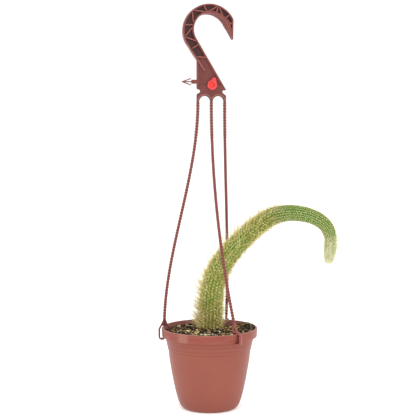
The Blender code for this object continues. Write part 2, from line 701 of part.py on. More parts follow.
def taper_cutter(side):
    """A wedge that thins the plate from the hook's depth to its own."""
    frame = hanger_frame()
    outline = [(2 * HOOK_DEPTH, PLATE_TAPER_TOP), (HOOK_DEPTH / 2, PLATE_TAPER_TOP)]
    outline += [(PLATE_DEPTH / 2, PLATE_TAPER_LOW), (PLATE_DEPTH / 2, PLATE_TAPER_END)]
    outline += [(2 * HOOK_DEPTH, PLATE_TAPER_END)]
    rings = []
    for u in (-HOOK_OUTER_RADIUS, HOOK_OUTER_RADIUS):
        rings.append([frame @ Vector((u, side * v, z)) for v, z in outline])
    return loft(rings)


def add_barb(parts):
    """The arrow barb at the plate's left edge."""
    u, z = BARB_TIP
    half = BARB_WIDTH / 2
    add_object("barb", bar((u, z), (BARB_SHAFT_END, z), BARB_WIDTH, -half, half), None, parts)
    for side in (-1, 1):
        end = (BARB_SHAFT_END - BARB_WING_BACK, z + side * BARB_SPAN)
        wing = bar((u + BARB_WING_FRONT, z), end, BARB_WIDTH, -half, half)
        add_object("barb", wing, None, parts)
    left, right, low, high = BARB_BLOCK
    middle = (low + high) / 2
    half = BARB_BLOCK_THICKNESS / 2
    block = bar((left, middle), (right, middle), high - low, -half, half)
    add_object("barb", block, None, parts)


def add_arch_beads(parts):
    """Raised beads round the twin arches."""
    depth = PLATE_DEPTH / 2 + ARCH_BEAD_RISE
    for left, right in zip(STRAND_PLACES, STRAND_PLACES[1:]):
        centre = ((left + right) / 2, ARCH_SPRING)
        radius = (right - left - STRAND_WIDTH) / 2 + ARCH_BEAD_INSET
        outline = arc(centre, radius, 0, 180, 10) + arc(centre, radius + ARCH_BEAD, 180, 0, 10)
        add_object("bead", plate_prism(outline, -depth, depth), None, parts)


def clip_frame(azimuth):
    """Turns (radius, tangent, height) at a clip into the pot's axes."""
    return Matrix.Rotation(math.radians(azimuth), 4, 'Z')


def hermite(share, landing):
    """Eased share of the way, level at the start and with a given slope at the end."""
    return 3 * share ** 2 - 2 * share ** 3 + landing * (share ** 3 - share ** 2)


def strand_points(index):
    """Centre line of one strand, from the plate down to its clip."""
    start = hanger_frame() @ Vector((STRAND_PLACES[index], 0, STRAND_TOP + STRAND_OVERLAP))
    end = clip_frame(CLIP_AZIMUTHS[index]) @ Vector((CLIP_APEX_RADIUS, 0, CLIP_APEX_HEIGHT))
    count = round((start.z - end.z) / STRAND_STEP)
    landing_x, landing_y = STRAND_LANDING[index]
    points = []
    for step in range(count + 1):
        share = step / count
        x = start.x + (end.x - start.x) * hermite(share, landing_x)
        y = start.y + (end.y - start.y) * hermite(share, landing_y)
        points.append(Vector((x, y, start.z + (end.z - start.z) * share)))
    return points


def strand(index):
    """One corded strand: a square bar that turns an eighth at each step."""
    points = strand_points(index)
    rings = []
    for step, centre in enumerate(points):
        along = points[min(step + 1, len(points) - 1)] - points[max(step - 1, 0)]
        side = Vector((0, 1, 0)).cross(along).normalized()
        other = along.cross(side).normalized()
        ring_points = []
        for corner in range(4):
            angle = math.pi / 2 * corner + math.pi / 4 * step
            offset = math.cos(angle) * side + math.sin(angle) * other
            ring_points.append(centre + STRAND_CORNER_RADIUS * offset)
        rings.append(ring_points)
    return loft(rings)


def strap(path, widths, azimuth):
    """A flat strap that follows a path of (radius, height) at a clip."""
    frame = clip_frame(azimuth)
    rings = []
    for index, (radius, height) in enumerate(path):
        before = Vector(path[max(index - 1, 0)])
        after = Vector(path[min(index + 1, len(path) - 1)])
        along = (after - before).normalized()
        across = Vector((-along.y, along.x)) * STRAP_THICKNESS / 2
        half = widths[index] / 2
        corners = ((1, half), (1, -half), (-1, -half), (-1, half))
        points = []
        for sign, tangent in corners:
            points.append(frame @ Vector((radius + sign * across.x, tangent, height + sign * across.y)))
        rings.append(points)
    return loft(rings)


def in_metres(places):
    """Places in millimetres as places in metres."""
    return [(place[0] * MM, place[1] * MM) for place in places]


def add_clip(azimuth, parts):
    """One rim clip: an outer strap with its foot, an inner leg and the web between them."""
    outer = in_metres(OUTER_STRAP_MM)
    foot_height = POT_HEIGHT - RIM_BAND_HEIGHT - GAP - STRAP_THICKNESS / 2
    outer += arc((outer[-1][0] - FOOT_BEND, foot_height + FOOT_BEND), FOOT_BEND, 0, -90, 3)
    outer += [(FOOT_END_RADIUS, foot_height)]
    widths = [*OUTER_STRAP_WIDTHS] + [STRAP_WIDTH] * (len(outer) - len(OUTER_STRAP_WIDTHS))
    add_object("clip", strap(outer, widths, azimuth), None, parts)
    add_object("clip", strap(in_metres(INNER_LEG_MM), INNER_LEG_WIDTHS, azimuth), None, parts)
    frame = clip_frame(azimuth)
    rings = []
    for tangent in (-CLIP_WEB / 2, CLIP_WEB / 2):
        rings.append([frame @ Vector((radius, tangent, height)) for radius, height in in_metres(CLIP_WEB_MM)])
    add_object("clip", loft(rings), None, parts)


def plug_cutter():
    """The hole in the plate for the plug's shank."""
    outline = arc(PLUG_CENTRE, PLUG_SHANK_RADIUS + GAP, 0, 342, 19)
    return plate_prism(outline, -HOOK_DEPTH, HOOK_DEPTH)


def make_hanger(material):
    """The hanger in one piece: hook, plate, barb, strands and clips."""
    half = HOOK_DEPTH / 2
    hanger = add_object("hanger", plate_prism(hook_outline(), -half, half), material)
    cuts = tool_collection("cuts")
    for side in (-1, 1):
        add_object("cut", taper_cutter(side), None, cuts)
        floor = side * HOOK_WEB / 2
        add_object("cut", plate_prism(channel_outline(), floor, side * HOOK_DEPTH), None, cuts)
        floor = side * PLATE_WEB / 2
        add_object("cut", plate_prism(plate_pocket_outline(), floor, side * HOOK_DEPTH), None, cuts)
    add_object("cut", plug_cutter(), None, cuts)
    combine(hanger, cuts, 'DIFFERENCE')
    parts = tool_collection("parts")
    rib_half = half - BAND_STANDS_OVER_RIBS
    for rib_ends in TRUSS_RIBS_MM:
        rib = bar(*in_metres(rib_ends), TRUSS_RIB_WIDTH, -rib_half, rib_half)
        add_object("rib", rib, None, parts)
    long_rib = bar(*LONG_RIB, LONG_RIB_WIDTH, -LONG_RIB_DEPTH / 2, LONG_RIB_DEPTH / 2)
    add_object("rib", long_rib, None, parts)
    add_object("saddle", saddle(), None, parts)
    add_arch_beads(parts)
    add_barb(parts)
    for index, azimuth in enumerate(CLIP_AZIMUTHS):
        add_object("strand", strand(index), None, parts)
        add_clip(azimuth, parts)
    combine(hanger, parts, 'UNION')
    shade(hanger, 35)
    return hanger


# Red plug


def keyhole_outline():
    """The plug's head: a disc with a smaller lobe at its upper right."""
    offset = Vector(LOBE_CENTRE) - Vector(PLUG_CENTRE)
    heading = math.degrees(math.atan2(offset.y, offset.x))
    points = arc(PLUG_CENTRE, PLUG_RADIUS, heading + 48, heading + 312, 22)
    return points + arc(LOBE_CENTRE, LOBE_RADIUS, heading - 95, heading + 95, 10)


def make_plug(material):
    """The red plug: a keyhole head on the plate's front and a shank through the plate."""
    front = -PLATE_DEPTH / 2 - GAP
    plug = add_object("red_plug", plate_prism(keyhole_outline(), front - PLUG_HEAD, front), material)
    parts = tool_collection("shank")
    outline = arc(PLUG_CENTRE, PLUG_SHANK_RADIUS, 0, 342, 19)
    add_object("shank", plate_prism(outline, front - PLUG_SHANK_SUNK, PLATE_DEPTH / 2), None, parts)
    combine(plug, parts, 'UNION')
    cuts = tool_collection("blind_hole")
    centre = (PLUG_CENTRE[0] + PLUG_HOLE_SHIFT[0], PLUG_CENTRE[1] + PLUG_HOLE_SHIFT[1])
    low = front - PLUG_HEAD + PLUG_HOLE_DEPTH
    hole = plate_prism(arc(centre, PLUG_HOLE_RADIUS, 0, 337.5, 15), low - 2 * PLUG_HEAD, low)
    add_object("hole", hole, None, cuts)
    combine(plug, cuts, 'DIFFERENCE')
    shade(plug, 35)
    return plug


def main():
    clear_scene()
    make_pot(plastic("terracotta_plastic", (0.38, 0.145, 0.105), 0.5))
    make_soil(plastic("potting_mix", (0.05, 0.036, 0.026), 0.95))
    make_stem(plastic("cactus_skin", (0.17, 0.26, 0.06), 0.6))
    make_hanger(plastic("hanger_plastic", (0.27, 0.085, 0.065), 0.4))
    make_plug(plastic("red_plastic", (0.85, 0.06, 0.05), 0.35))


main()
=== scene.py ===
"""Finished look of a monkey tail cactus in a hanging pot, laid out as an add-on.

Metres, +Z up. The origin is the centre of the pot's underside, and -Y is the front.
"""
import math
import random

import bmesh
import bpy
from bpy.props import FloatProperty, FloatVectorProperty, IntProperty, PointerProperty
from mathutils import Matrix, Vector, noise


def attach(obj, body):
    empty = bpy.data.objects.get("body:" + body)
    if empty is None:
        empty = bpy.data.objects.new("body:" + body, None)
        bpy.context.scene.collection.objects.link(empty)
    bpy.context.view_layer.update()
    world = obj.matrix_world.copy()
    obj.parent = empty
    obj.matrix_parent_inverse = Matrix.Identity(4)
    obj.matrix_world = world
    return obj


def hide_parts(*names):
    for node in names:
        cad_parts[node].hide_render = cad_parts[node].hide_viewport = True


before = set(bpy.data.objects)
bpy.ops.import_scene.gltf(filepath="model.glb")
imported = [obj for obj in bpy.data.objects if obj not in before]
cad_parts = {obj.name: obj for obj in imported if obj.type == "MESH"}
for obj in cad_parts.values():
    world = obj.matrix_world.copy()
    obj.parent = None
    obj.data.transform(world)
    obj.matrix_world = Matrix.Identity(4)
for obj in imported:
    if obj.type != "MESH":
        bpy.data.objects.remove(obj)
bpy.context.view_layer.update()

bl_info = {
    "name": "Monkey Tail Cactus",
    "version": (1, 0, 0),
    "blender": (4, 5, 0),
    "location": "View3D > Sidebar > Cactus",
    "description": "Builds a potted monkey tail cactus on a moulded three-strand hanger",
    "category": "Add Mesh",
}

MM = 0.001

# Pot
POT_HEIGHT = 97.0 * MM
STEP_HEIGHTS = (71.2 * MM, 75.2 * MM, 80.3 * MM)
STEP_DEPTH = 0.5 * MM
TAPER_TOP = (48.3 * MM, 60.0 * MM)
BODY_FOOT = (33.2 * MM, 1.6 * MM)
BODY_TOP_RADIUS = 52.8 * MM
BASE_MM = ((0.0, 0.0), (30.4, 0.0), (31.2, 0.12), (32.4, 0.7))
OUTSIDE_HEIGHTS_MM = (3, 5, 8, 12, 16, 21, 26, 32, 38, 44, 50, 56)
INSIDE_HEIGHTS_MM = (60, 50, 40, 28, 16, 8, 2.2)
STEP_RISE = 0.7 * MM
RIM_BAND_HEIGHT = 10.3 * MM
RIM_LIP_WIDTH = 2.3 * MM
POT_TURN_STEPS = 160
DRAIN_HOLES = 4
DRAIN_HOLE_RADIUS = 3 * MM
DRAIN_CIRCLE_RADIUS = 19 * MM
BAND_FADE = (86.6 * MM, 87.2 * MM)
# Height where the lip's painted highlight fades in, and the centres of the two painted highlights on the rim band
LIP_FADE = (96.5 * MM, 97.0 * MM)
RIGHT_HIGHLIGHT_PLACE = (58 * MM, -14 * MM, 92 * MM)
LEFT_HIGHLIGHT_PLACE = (-31 * MM, -48 * MM, 91 * MM)

# Soil
SOIL_LEVEL = 91.3 * MM
SOIL_EDGE_RADIUS = 54.9 * MM
STEM_MOUND = (3.6 * MM, 26.0 * MM)
RIGHT_BANK = (8.0 * MM, 14.0, 22.0, 48.0 * MM, 11.0 * MM)
BACK_HOLLOW = (2.6 * MM, 66.0, 24.0)
SOIL_GRID = (180, 60)
SOIL_FLOOR = 2.5 * MM
SOIL_SIDE_SHARE = 0.2
SOIL_TO_WALL = 2.0 * MM
SOIL_SIDE_RADIUS = 50.5 * MM
STREWN_RADIUS = 52.5 * MM
CLEAR_OF_STEM = 14.5 * MM
FRONT_CLUSTER = (-1.75, 0.25)
CLIP_AZIMUTHS = (188.0, -58.0, 67.2)

# Stem: its centre line in the leaning plane
STEM_FOOT = (1.0 * MM, 14.0 * MM)
STEM_BOTTOM = 66.0 * MM
STEM_TIP_Y = 5.0 * MM
STEM_BENDS_MM = (
    (0.0, 97.0), (2.3, 137.5), (9.0, 162.5), (24.2, 185.6), (39.4, 202.0), (56.6, 218.0), (73.4, 229.2),
    (88.0, 233.3), (103.5, 233.7), (119.0, 230.6), (131.4, 224.8), (140.0, 216.4), (143.7, 206.0),
    (144.0, 195.0), (143.0, 184.0), (142.0, 173.8),
)
STEM_STEPS = 560
STEM_START = 0.06
STEM_SHRINK_POWER = 1.6
STEM_CAP_LENGTH = 19.0 * MM
STEM_CAP_POWER = 2.2
STEM_CAP_FLAT = 0.4 * MM
STEM_SIDES_PER_RIB = 7
SEAM_AT = 0.462
SEAM_TILT = 9.9 * MM
SEAM_STEP = 0.6 * MM
SEAM_FADE = 0.2
SEAM_CLEARANCE = 1.3 * MM
TIP_AT = 0.885
TIP_STEP = 0.45 * MM
BARE_FROM = 0.56
BARE_BLEND = 0.14
ROW_CLOSING = 1.2

# Hanger, in its own plane: u runs to the right, v to the back, z up.
# An arc is (centre, radius, start angle, end angle).
HANGER_YAW = 11.0
# Tones read by the hanger's finish: painted shade in the recesses, the plate's own colour, painted highlight on the
# ribs.
SHADE_TONE, MIDDLE, HIGHLIGHT_TONE = 0.0, 0.5, 0.95
HOOK_DEPTH = 8.5 * MM
HOOK_WEB = 1.8 * MM
HOOK_OUTER = ((-0.4 * MM, 449.2 * MM), 31.7 * MM, 27.0, 205.0)
THROAT = ((1.0 * MM, 450.9 * MM), 20.3 * MM, 211.0, 101.0)
THROAT_ROOF = ((-1.4 * MM, 442.5 * MM), 28.4 * MM, 84.0, 34.0)
HOOK_TIP_MM = ((22.9, 453.0), (26.3, 440.6), (26.9, 439.6), (27.6, 439.6), (28.1, 461.9))
OUTER_BAND = 1.8 * MM
INNER_BAND = 1.9 * MM
TRUSS_RIBS_MM = (
    ((18.6, 461.6), (26.6, 457.7)), ((17.2, 463.9), (23.0, 468.0)), ((15.4, 466.0), (11.5, 476.6)),
    ((7.6, 470.0), (9.5, 477.4)), ((-1.9, 471.8), (8.3, 477.9)), ((-3.9, 471.5), (-7.2, 479.2)),
    ((-6.8, 471.4), (-20.2, 473.2)), ((-19.9, 459.4), (-21.1, 471.2)), ((-20.0, 456.0), (-30.4, 456.1)),
    ((-20.7, 453.4), (-29.2, 443.1)), ((-17.0, 437.6), (-29.0, 441.6)), ((-13.4, 433.5), (-21.4, 428.6)),
    ((-15.4, 418.9), (-4.6, 418.4)),
)
TRUSS_RIB_WIDTH = 1.5 * MM
LONG_RIB_MM = ((-15.6, 417.2), (-6.2, 402.6))
SADDLE_START = 124
# A tread is (share of the half depth, share of the drop, tone); the tones paint pale highlights and lines of shade
# across the seat.
SADDLE_TREADS = (
    (-1.0, 0.0, 0.5), (-0.9, 0.25, 1.0), (-0.3, 0.4, 0.35), (-0.2, 0.56, 1.0), (0.35, 0.7, 0.35), (0.45, 0.86, 1.0),
    (1.0, 1.0, 0.5),
)
PLATE_DEPTH = 3.6 * MM
PLATE_WEB = 2.6 * MM
PLATE_LEFT = -15.4 * MM
PLATE_SHOULDER = 415.8 * MM
PLATE_TAPER = (384.0 * MM, 418.0 * MM)
PLATE_RIGHT_FOOT = (18.8 * MM, 382.2 * MM)
PLATE_LEAN = 31
NOTCH_HEIGHT = 378.7 * MM
NOTCH_RADIUS = 2.05 * MM
ARCH_SPRING = 366.6 * MM
STRAND_TOP = 362.0 * MM
BEAD_WIDTH = 1.1 * MM
BARB_TIP = (-33.1 * MM, 389.9 * MM)
STRAND_WIDTH = 2.9 * MM
CORD_STEPS = 9
CORD_SIDES = 16
STRAND_PLACES = (-14.0 * MM, 2.2 * MM, 18.3 * MM)
STRAND_LANDING = ((0.2, 0.3), (2.0, 0.3), (-3.3, 0.3))
CLIP_APEX = (54.3 * MM, 108.5 * MM)
CLIP_TWISTS = (0.0, 38.0, 0.0)
CLIP_TOPS = (108.5 * MM, 108.5 * MM, 101.8 * MM)
OPEN_STRAP_MM = (
    (54.3, 109.5), (56.0, 105.0), (57.7, 101.6), (59.2, 99.0), (60.4, 96.4), (60.6, 95.2), (60.6, 87.0), (60.0, 85.2),
    (58.6, 84.45), (54.9, 84.45),
)
SHUT_STRAP_MM = (
    (54.3, 109.5), (54.9, 105.6), (55.9, 102.2), (57.6, 99.4), (60.1, 96.6), (60.4, 95.6), (60.4, 87.5), (59.8, 85.9),
    (58.2, 85.35), (54.9, 85.35),
)
OUTER_STRAPS_MM = (OPEN_STRAP_MM, SHUT_STRAP_MM, SHUT_STRAP_MM)
OPEN_LEG_MM = ((54.0, 109.5), (52.4, 105.0), (50.9, 100.0), (47.0, 95.4))
SHUT_LEG_MM = ((54.0, 109.5), (53.3, 105.6), (53.0, 102.0), (54.2, 99.4), (57.6, 98.5))
INNER_LEGS_MM = (OPEN_LEG_MM, SHUT_LEG_MM, SHUT_LEG_MM)
SHUT_WEB_MM = ((54.2, 108.5), (53.3, 105.6), (53.2, 103.9), (55.2, 103.9), (54.9, 105.6))
OPEN_WEB_MM = (
    (54.2, 108.5), (52.2, 104.4), (51.0, 100.6), (53.4, 100.2), (58.2, 100.2), (57.2, 102.4), (55.8, 105.4),
)
CLIP_WEBS_MM = (OPEN_WEB_MM, SHUT_WEB_MM, SHUT_WEB_MM)
# Tones of the clips' straps: the left clip is painted darker as shade.
CLIP_SHADE_TONES = (0.3, 0.7, 0.7)
STRAP_WIDTHS_MM = ((109.5, 2.5), (103.0, 2.7), (98.5, 3.6), (95.6, 5.6))
BACK_WIDTHS_MM = ((109.5, 2.2), (95.6, 2.4))
OUTER_WIDTHS_MM = (STRAP_WIDTHS_MM, STRAP_WIDTHS_MM, BACK_WIDTHS_MM)
STRAP_THICKNESS = 1.9 * MM
LEG_THICKNESSES = (1.7 * MM, 1.25 * MM, 1.25 * MM)

# Red plug
PLUG_DISC = ((2.6 * MM, 386.2 * MM), 5.8 * MM)
PLUG_LOBE = ((4.9 * MM, 392.4 * MM), 2.8 * MM)
PLUG_HEAD = 2.4 * MM
PLUG_SHANK_RADIUS = 2.8 * MM
PLUG_HOLE_DEPTH = 1.6 * MM
PLUG_HOLE = (0.2 * MM, -0.1 * MM, 2.8 * MM)

# View
CAMERA_PLACE = (-0.00178, -1.30, 0.3382)
CAMERA_PITCH = -4.30
CAMERA_LENS = 94.66


def length_prop(name, description, millimetres):
    """A length that the user may change."""
    return FloatProperty(name=name, description=description, default=millimetres * MM, unit='LENGTH')


def count_prop(name, description, default, least=0):
    """A number of things that the user may change."""
    return IntProperty(name=name, description=description, default=default, min=least)


def power_prop(name, description, default, unit='NONE'):
    """A strength of light that the user may change."""
    return FloatProperty(name=name, description=description, default=default, min=0.0, unit=unit)


def colour_prop(name, description, default):
    """A colour that the user may change."""
    return FloatVectorProperty(name=name, description=description, default=default, subtype='COLOR', min=0.0, max=1.0)


class PotSettings(bpy.types.PropertyGroup):
    """Sizes and finish of the pot."""

    height: length_prop("Height", "Height of the pot", 97.0)
    rim_radius: length_prop("Rim radius", "Outer radius of the rim", 57.5)
    wall: length_prop("Wall", "Thickness of the wall", 1.7)
    colour: colour_prop("Colour", "Colour of the pot's plastic", (0.276, 0.076, 0.050))


class SoilSettings(bpy.types.PropertyGroup):
    """Amounts and colours of the potting mix."""

    crumbs: count_prop("Crumbs", "Dark crumbs on the soil", 1300)
    grains: count_prop("Perlite", "Pale perlite grains", 110)
    chips: count_prop("Bark", "Bark chips", 500)
    peat: colour_prop("Peat", "Colour of the peat", (0.022, 0.017, 0.012))
    bark: colour_prop("Bark", "Colour of the bark chips", (0.44, 0.235, 0.055))
    perlite: colour_prop("Perlite", "Colour of the perlite", (0.88, 0.80, 0.46))


class CactusSettings(bpy.types.PropertyGroup):
    """Growth and colours of the cactus."""

    base_radius: length_prop("Foot radius", "Stem radius at the soil", 14)
    tip_radius: length_prop("Tip radius", "Stem radius at the tip", 6.2)
    ribs: count_prop("Ribs", "Ribs round the stem", 20, 4)
    rib_depth: length_prop("Rib depth", "Depth of the grooves", 1.1)
    areole_pitch: length_prop("Areole pitch", "Areole spacing on a rib", 3.9)
    spines: count_prop("Spines", "Spines in one areole", 12, 1)
    tip_hairs: count_prop("Tip hairs", "Hairs on the growing tip", 1700)
    foot_hairs: count_prop("Foot hairs", "All hairs on the old stem", 1400)
    halo_hairs: count_prop("Halo hairs", "Long hairs among them", 760)
    green: colour_prop("Green", "Colour of the young skin", (0.105, 0.24, 0.022))


class HangerSettings(bpy.types.PropertyGroup):
    """Sizes and colour of the hanger and its plug."""

    cord_pitch: length_prop("Cord pitch", "Height from one ridge of a strand to the next", 3.42)
    cord_core: length_prop("Cord core", "Core radius of a strand", 1.15)
    cord_ridge: length_prop("Cord ridge", "Height of the ridges", 1.05)
    soft_edge: length_prop("Edge rounding", "Rounding of edges", 0.22)
    colour: colour_prop("Colour", "Colour of the hanger's plastic", (0.235, 0.052, 0.042))
    plug_colour: colour_prop("Plug colour", "Colour of the red plug", (0.62, 0.027, 0.030))


class StageSettings(bpy.types.PropertyGroup):
    """Floor and studio light."""

    floor_colour: colour_prop("Floor", "Colour of the floor", (0.985, 0.985, 0.985))
    floor_glow: power_prop("Floor glow", "Light of the lit floor", 0.3)
    sky: power_prop("Sky light", "Strength of the even light", 1.04)
    key: power_prop("Key light", "Power of the softbox", 10.0, 'POWER')
    fill: power_prop("Fill light", "Power of the fill light", 2.0, 'POWER')


# Materials


class Finish:
    """A material whose nodes are added one after another."""

    def __init__(self, name, roughness, specular=0.5):
        self.material = bpy.data.materials.new(name)
        self.material.use_nodes = True
        self.tree = self.material.node_tree
        self.shader = self.tree.nodes["Principled BSDF"]
        self.shader.inputs["Roughness"].default_value = roughness
        self.shader.inputs["Specular IOR Level"].default_value = specular
        self.place = self.node("TexCoord", "Object")

    def feed(self, socket, value):
        """Give a socket another node's output, a number or a colour."""
        if isinstance(value, bpy.types.NodeSocket):
            self.tree.links.new(value, socket)
        else:
            socket.default_value = (*value, 1.0) if socket.type == 'RGBA' else value

    def node(self, kind, output, inputs=None, **options):
        """Add a node with its options and inputs, and give one of its outputs."""
        node = self.tree.nodes.new("ShaderNode" + kind)
        for name, value in options.items():
            setattr(node, name, value)
        for key, value in (inputs or {}).items():
            self.feed(node.inputs[key], value)
        return node.outputs[output]

    def attribute(self, name):
        """A number kept on the mesh."""
        return self.node("Attribute", "Fac", attribute_name=name)

    def stretched(self, scale):
        """Object coordinates, scaled differently on each axis."""
        return self.node("Mapping", "Vector", {"Vector": self.place, "Scale": scale})

    def grain(self, scale, detail=3.0, roughness=0.55, vector=None):
        """Noise of a given scale."""
        inputs = {"Vector": vector or self.place, "Scale": scale, "Detail": detail, "Roughness": roughness}
        return self.node("TexNoise", "Fac", inputs)

    def ramp(self, value, *stops):
        """Colours read along a value, by stops of (position, colour) that start with the two ends."""
        colours = self.node("ValToRGB", "Color", {"Fac": value})
        elements = colours.node.color_ramp.elements
        for index, (position, colour) in enumerate(stops):
            element = elements[index] if index < 2 else elements.new(position)
            element.position = position
            element.color = (*colour, 1.0)
        return colours

    def mix(self, first, second, share):
        """Two colours mixed, with the share as a number or an output."""
        return self.node("Mix", 2, {0: share, 6: first, 7: second}, data_type='RGBA')

    def span(self, value, low, high, new_low=0.0, new_high=1.0):
        """A value mapped to another range."""
        inputs = {"Value": value, "From Min": low, "From Max": high, "To Min": new_low, "To Max": new_high}
        return self.node("MapRange", "Result", inputs)

    def times(self, first, second):
        """Two values multiplied, the second one a number or an output."""
        return self.node("Math", "Value", {0: first, 1: second}, operation='MULTIPLY')

    def away_from(self, centre, axes):
        """Distance from a centre, measured along the axes that are 1."""
        goal = [place * axis for place, axis in zip(centre, axes)]
        return self.node("VectorMath", "Value", {0: self.stretched(axes), 1: goal}, operation='DISTANCE')

    def height(self):
        """Height above the pot's base."""
        return self.node("SeparateXYZ", "Z", {"Vector": self.place})

    def bump(self, *layers):
        """Relief from layers of (height, strength, distance)."""
        under = {}
        for height, strength, distance in layers:
            inputs = {"Strength": strength, "Distance": distance, "Height": height, **under}
            normal = self.node("Bump", "Normal", inputs)
            under = {"Normal": normal}
        self.feed(self.shader.inputs["Normal"], normal)

    def done(self, colour, roughness=None):
        """Set the colour and return the material."""
        self.feed(self.shader.inputs["Base Color"], colour)
        if roughness:
            self.feed(self.shader.inputs["Roughness"], roughness)
        return self.material


def shaded(colour, factor):
    """A colour made lighter or darker."""
    return tuple(min(1.0, channel * factor) for channel in colour)


def pot_plastic(colour):
    """Moulded terracotta-coloured plastic: cloudy, finely pebbled and dusty, with painted light and shade:
    reflections streaked on the rim band, highlights on the band and along the lip, shade at the wall's steps and
    towards the base, and a paler inner face of the rim.
    """
    finish = Finish("terracotta_plastic", 0.45, 0.26)
    height = finish.height()
    clouds = finish.grain(26.0, 4.0)
    body = finish.ramp(clouds, (0.25, shaded(colour, 0.93)), (0.75, shaded(colour, 1.06)))
    dust = finish.span(finish.grain(300.0, 8.0, 0.7), 0.6, 0.78, 0.0, 0.16)
    body = finish.mix(body, (0.44, 0.21, 0.16), dust)
    on_band = finish.span(height, *BAND_FADE)
    # Painted reflections: pale vertical streaks on the rim band.
    reflection_streaks = finish.span(finish.grain(70.0, 5.0, 0.6, finish.stretched((0.6, 0.6, 5.0))), 0.35, 0.65)
    reflection_streaks = finish.times(reflection_streaks, on_band)
    body = finish.mix(body, (0.255, 0.045, 0.029), finish.times(on_band, 0.85))
    body = finish.mix(body, (0.30, 0.10, 0.072), finish.times(reflection_streaks, 0.5))
    # Painted highlight: the reflection streaks made paler, most of all on the right of the rim band.
    right_highlight = finish.span(finish.away_from(RIGHT_HIGHLIGHT_PLACE, (1.0, 1.0, 1.0)), 42 * MM, 24 * MM, 0.1, 0.3)
    body = finish.mix(body, (0.28, 0.115, 0.085), finish.times(reflection_streaks, right_highlight))
    # Painted highlight: a pale patch on the front left of the rim band.
    left_highlight = finish.span(finish.away_from(LEFT_HIGHLIGHT_PLACE, (1.0, 1.0, 0.3)), 9 * MM, 4 * MM, 0.0, 0.6)
    body = finish.mix(body, (0.36, 0.16, 0.12), finish.times(on_band, left_highlight))
    # Painted shade: a dark line at each step of the wall.
    for step in STEP_HEIGHTS:
        above = finish.span(height, step - 0.2 * MM, step + 0.1 * MM)
        line = finish.times(above, finish.span(height, step + 1.3 * MM, step + 0.5 * MM))
        body = finish.mix(body, shaded(colour, 0.7), finish.times(line, 0.55))
    # Painted highlight along the top of the lip.
    body = finish.mix(body, (0.50, 0.25, 0.19), finish.span(height, *LIP_FADE, 0.0, 0.7))
    # Painted shade: darker towards the base.
    body = finish.mix(body, shaded(colour, 0.8), finish.span(height, 30.0 * MM, 0.0, 0.0, 0.5))
    # Painted light: a paler, greyer colour on the inner face of the rim.
    inside = finish.span(finish.away_from((0.0, 0.0, 0.0), (1.0, 1.0, 0.0)), 56.4 * MM, 55.7 * MM)
    inside = finish.times(inside, finish.span(height, 86.0 * MM, 87.0 * MM))
    body = finish.mix(body, (0.33, 0.14, 0.125), inside)
    finish.bump((finish.grain(900.0, 2.0), 0.14, 0.12 * MM), (finish.grain(110.0, 3.0), 0.1, 0.3 * MM))
    return finish.done(body, finish.span(clouds, 0.3, 0.7, 0.36, 0.5))


def hanger_plastic(name, colour):
    """Moulded reddish-brown plastic with flow marks; its tone paints shade into the recesses and highlights on the
    raised edges, ribs, beads and saddle treads.
    """
    finish = Finish(name, 0.4, 0.36)
    tone = finish.attribute("tone")
    # The highlight colour: a paler, greyer copy of the plastic, painted on the raised parts.
    raised = (colour[0] * 1.4, colour[1] * 1.75, colour[2] * 1.8)
    body = finish.ramp(tone, (0.0, shaded(colour, 0.24)), (1.0, raised), (0.35, shaded(colour, 0.6)), (0.7, colour))
    clouds = finish.grain(140.0, 4.0)
    body = finish.mix(body, shaded(colour, 0.55), finish.span(clouds, 0.45, 0.8, 0.0, 0.4))
    flow = finish.grain(160.0, 5.0, vector=finish.stretched((1.0, 1.0, 0.25)))
    # Flow marks, drawn in the highlight colour where the tone paints light.
    body = finish.mix(body, raised, finish.times(finish.span(flow, 0.5, 0.8, 0.0, 0.35), tone))
    rubbed = finish.span(finish.grain(420.0, 6.0, 0.7), 0.58, 0.76, 0.0, 0.16)
    body = finish.mix(body, (0.38, 0.19, 0.15), finish.times(rubbed, tone))
    # Painted highlight: a beige sheen on the arch beads and the saddle's pale treads.
    body = finish.mix(body, (0.40, 0.27, 0.22), finish.span(tone, 0.96, 1.0, 0.0, 0.7))
    finish.bump((finish.grain(1400.0, 2.0), 0.12, 0.08 * MM), (finish.grain(260.0, 2.0), 0.1, 0.15 * MM))
    return finish.done(body, finish.span(flow, 0.3, 0.7, 0.33, 0.48))


def plug_plastic(colour, hole, radius):
    """Bright red moulded plastic, with painted light in its blind hole, bright orange at the floor, and painted shade
    towards the hole's wall.
    """
    finish = Finish("red_plastic", 0.34)
    clouds = finish.grain(220.0, 3.0)
    body = finish.ramp(clouds, (0.3, shaded(colour, 0.9)), (0.7, (0.82, colour[1] * 1.7, colour[2] * 1.7)))
    # Painted light and shade in the blind hole: bright orange at its floor, dark red towards its wall.
    away = finish.away_from(hole, (1.0, 0.0, 1.0))
    stops = (0.0, (0.98, 0.07, 0.012)), (1.0, (0.34, 0.008, 0.008)), (0.75, (0.9, 0.04, 0.01))
    inner = finish.ramp(finish.span(away, 0.0, radius), *stops)
    body = finish.mix(body, inner, finish.span(away, radius + 0.25 * MM, radius + 0.05 * MM))
    finish.bump((finish.grain(1600.0, 2.0), 0.1, 0.06 * MM))
    return finish.done(body, finish.span(clouds, 0.3, 0.7, 0.28, 0.4))


def peat(colour):
    """Dark damp peat with brown fibres."""
    finish = Finish("peat", 0.95, 0.25)
    coarse = finish.grain(330.0, 8.0, 0.65)
    fibres = finish.grain(700.0, 4.0, 0.6, vector=finish.stretched((1.0, 0.25, 1.0)))
    body = finish.ramp(coarse, (0.32, shaded(colour, 0.35)), (0.62, colour))
    body = finish.mix(body, (0.12, 0.07, 0.03), finish.span(fibres, 0.56, 0.72, 0.0, 0.8))
    finish.bump((coarse, 0.7, 0.8 * MM), (finish.grain(1500.0, 3.0), 0.5, 0.2 * MM))
    return finish.done(body)


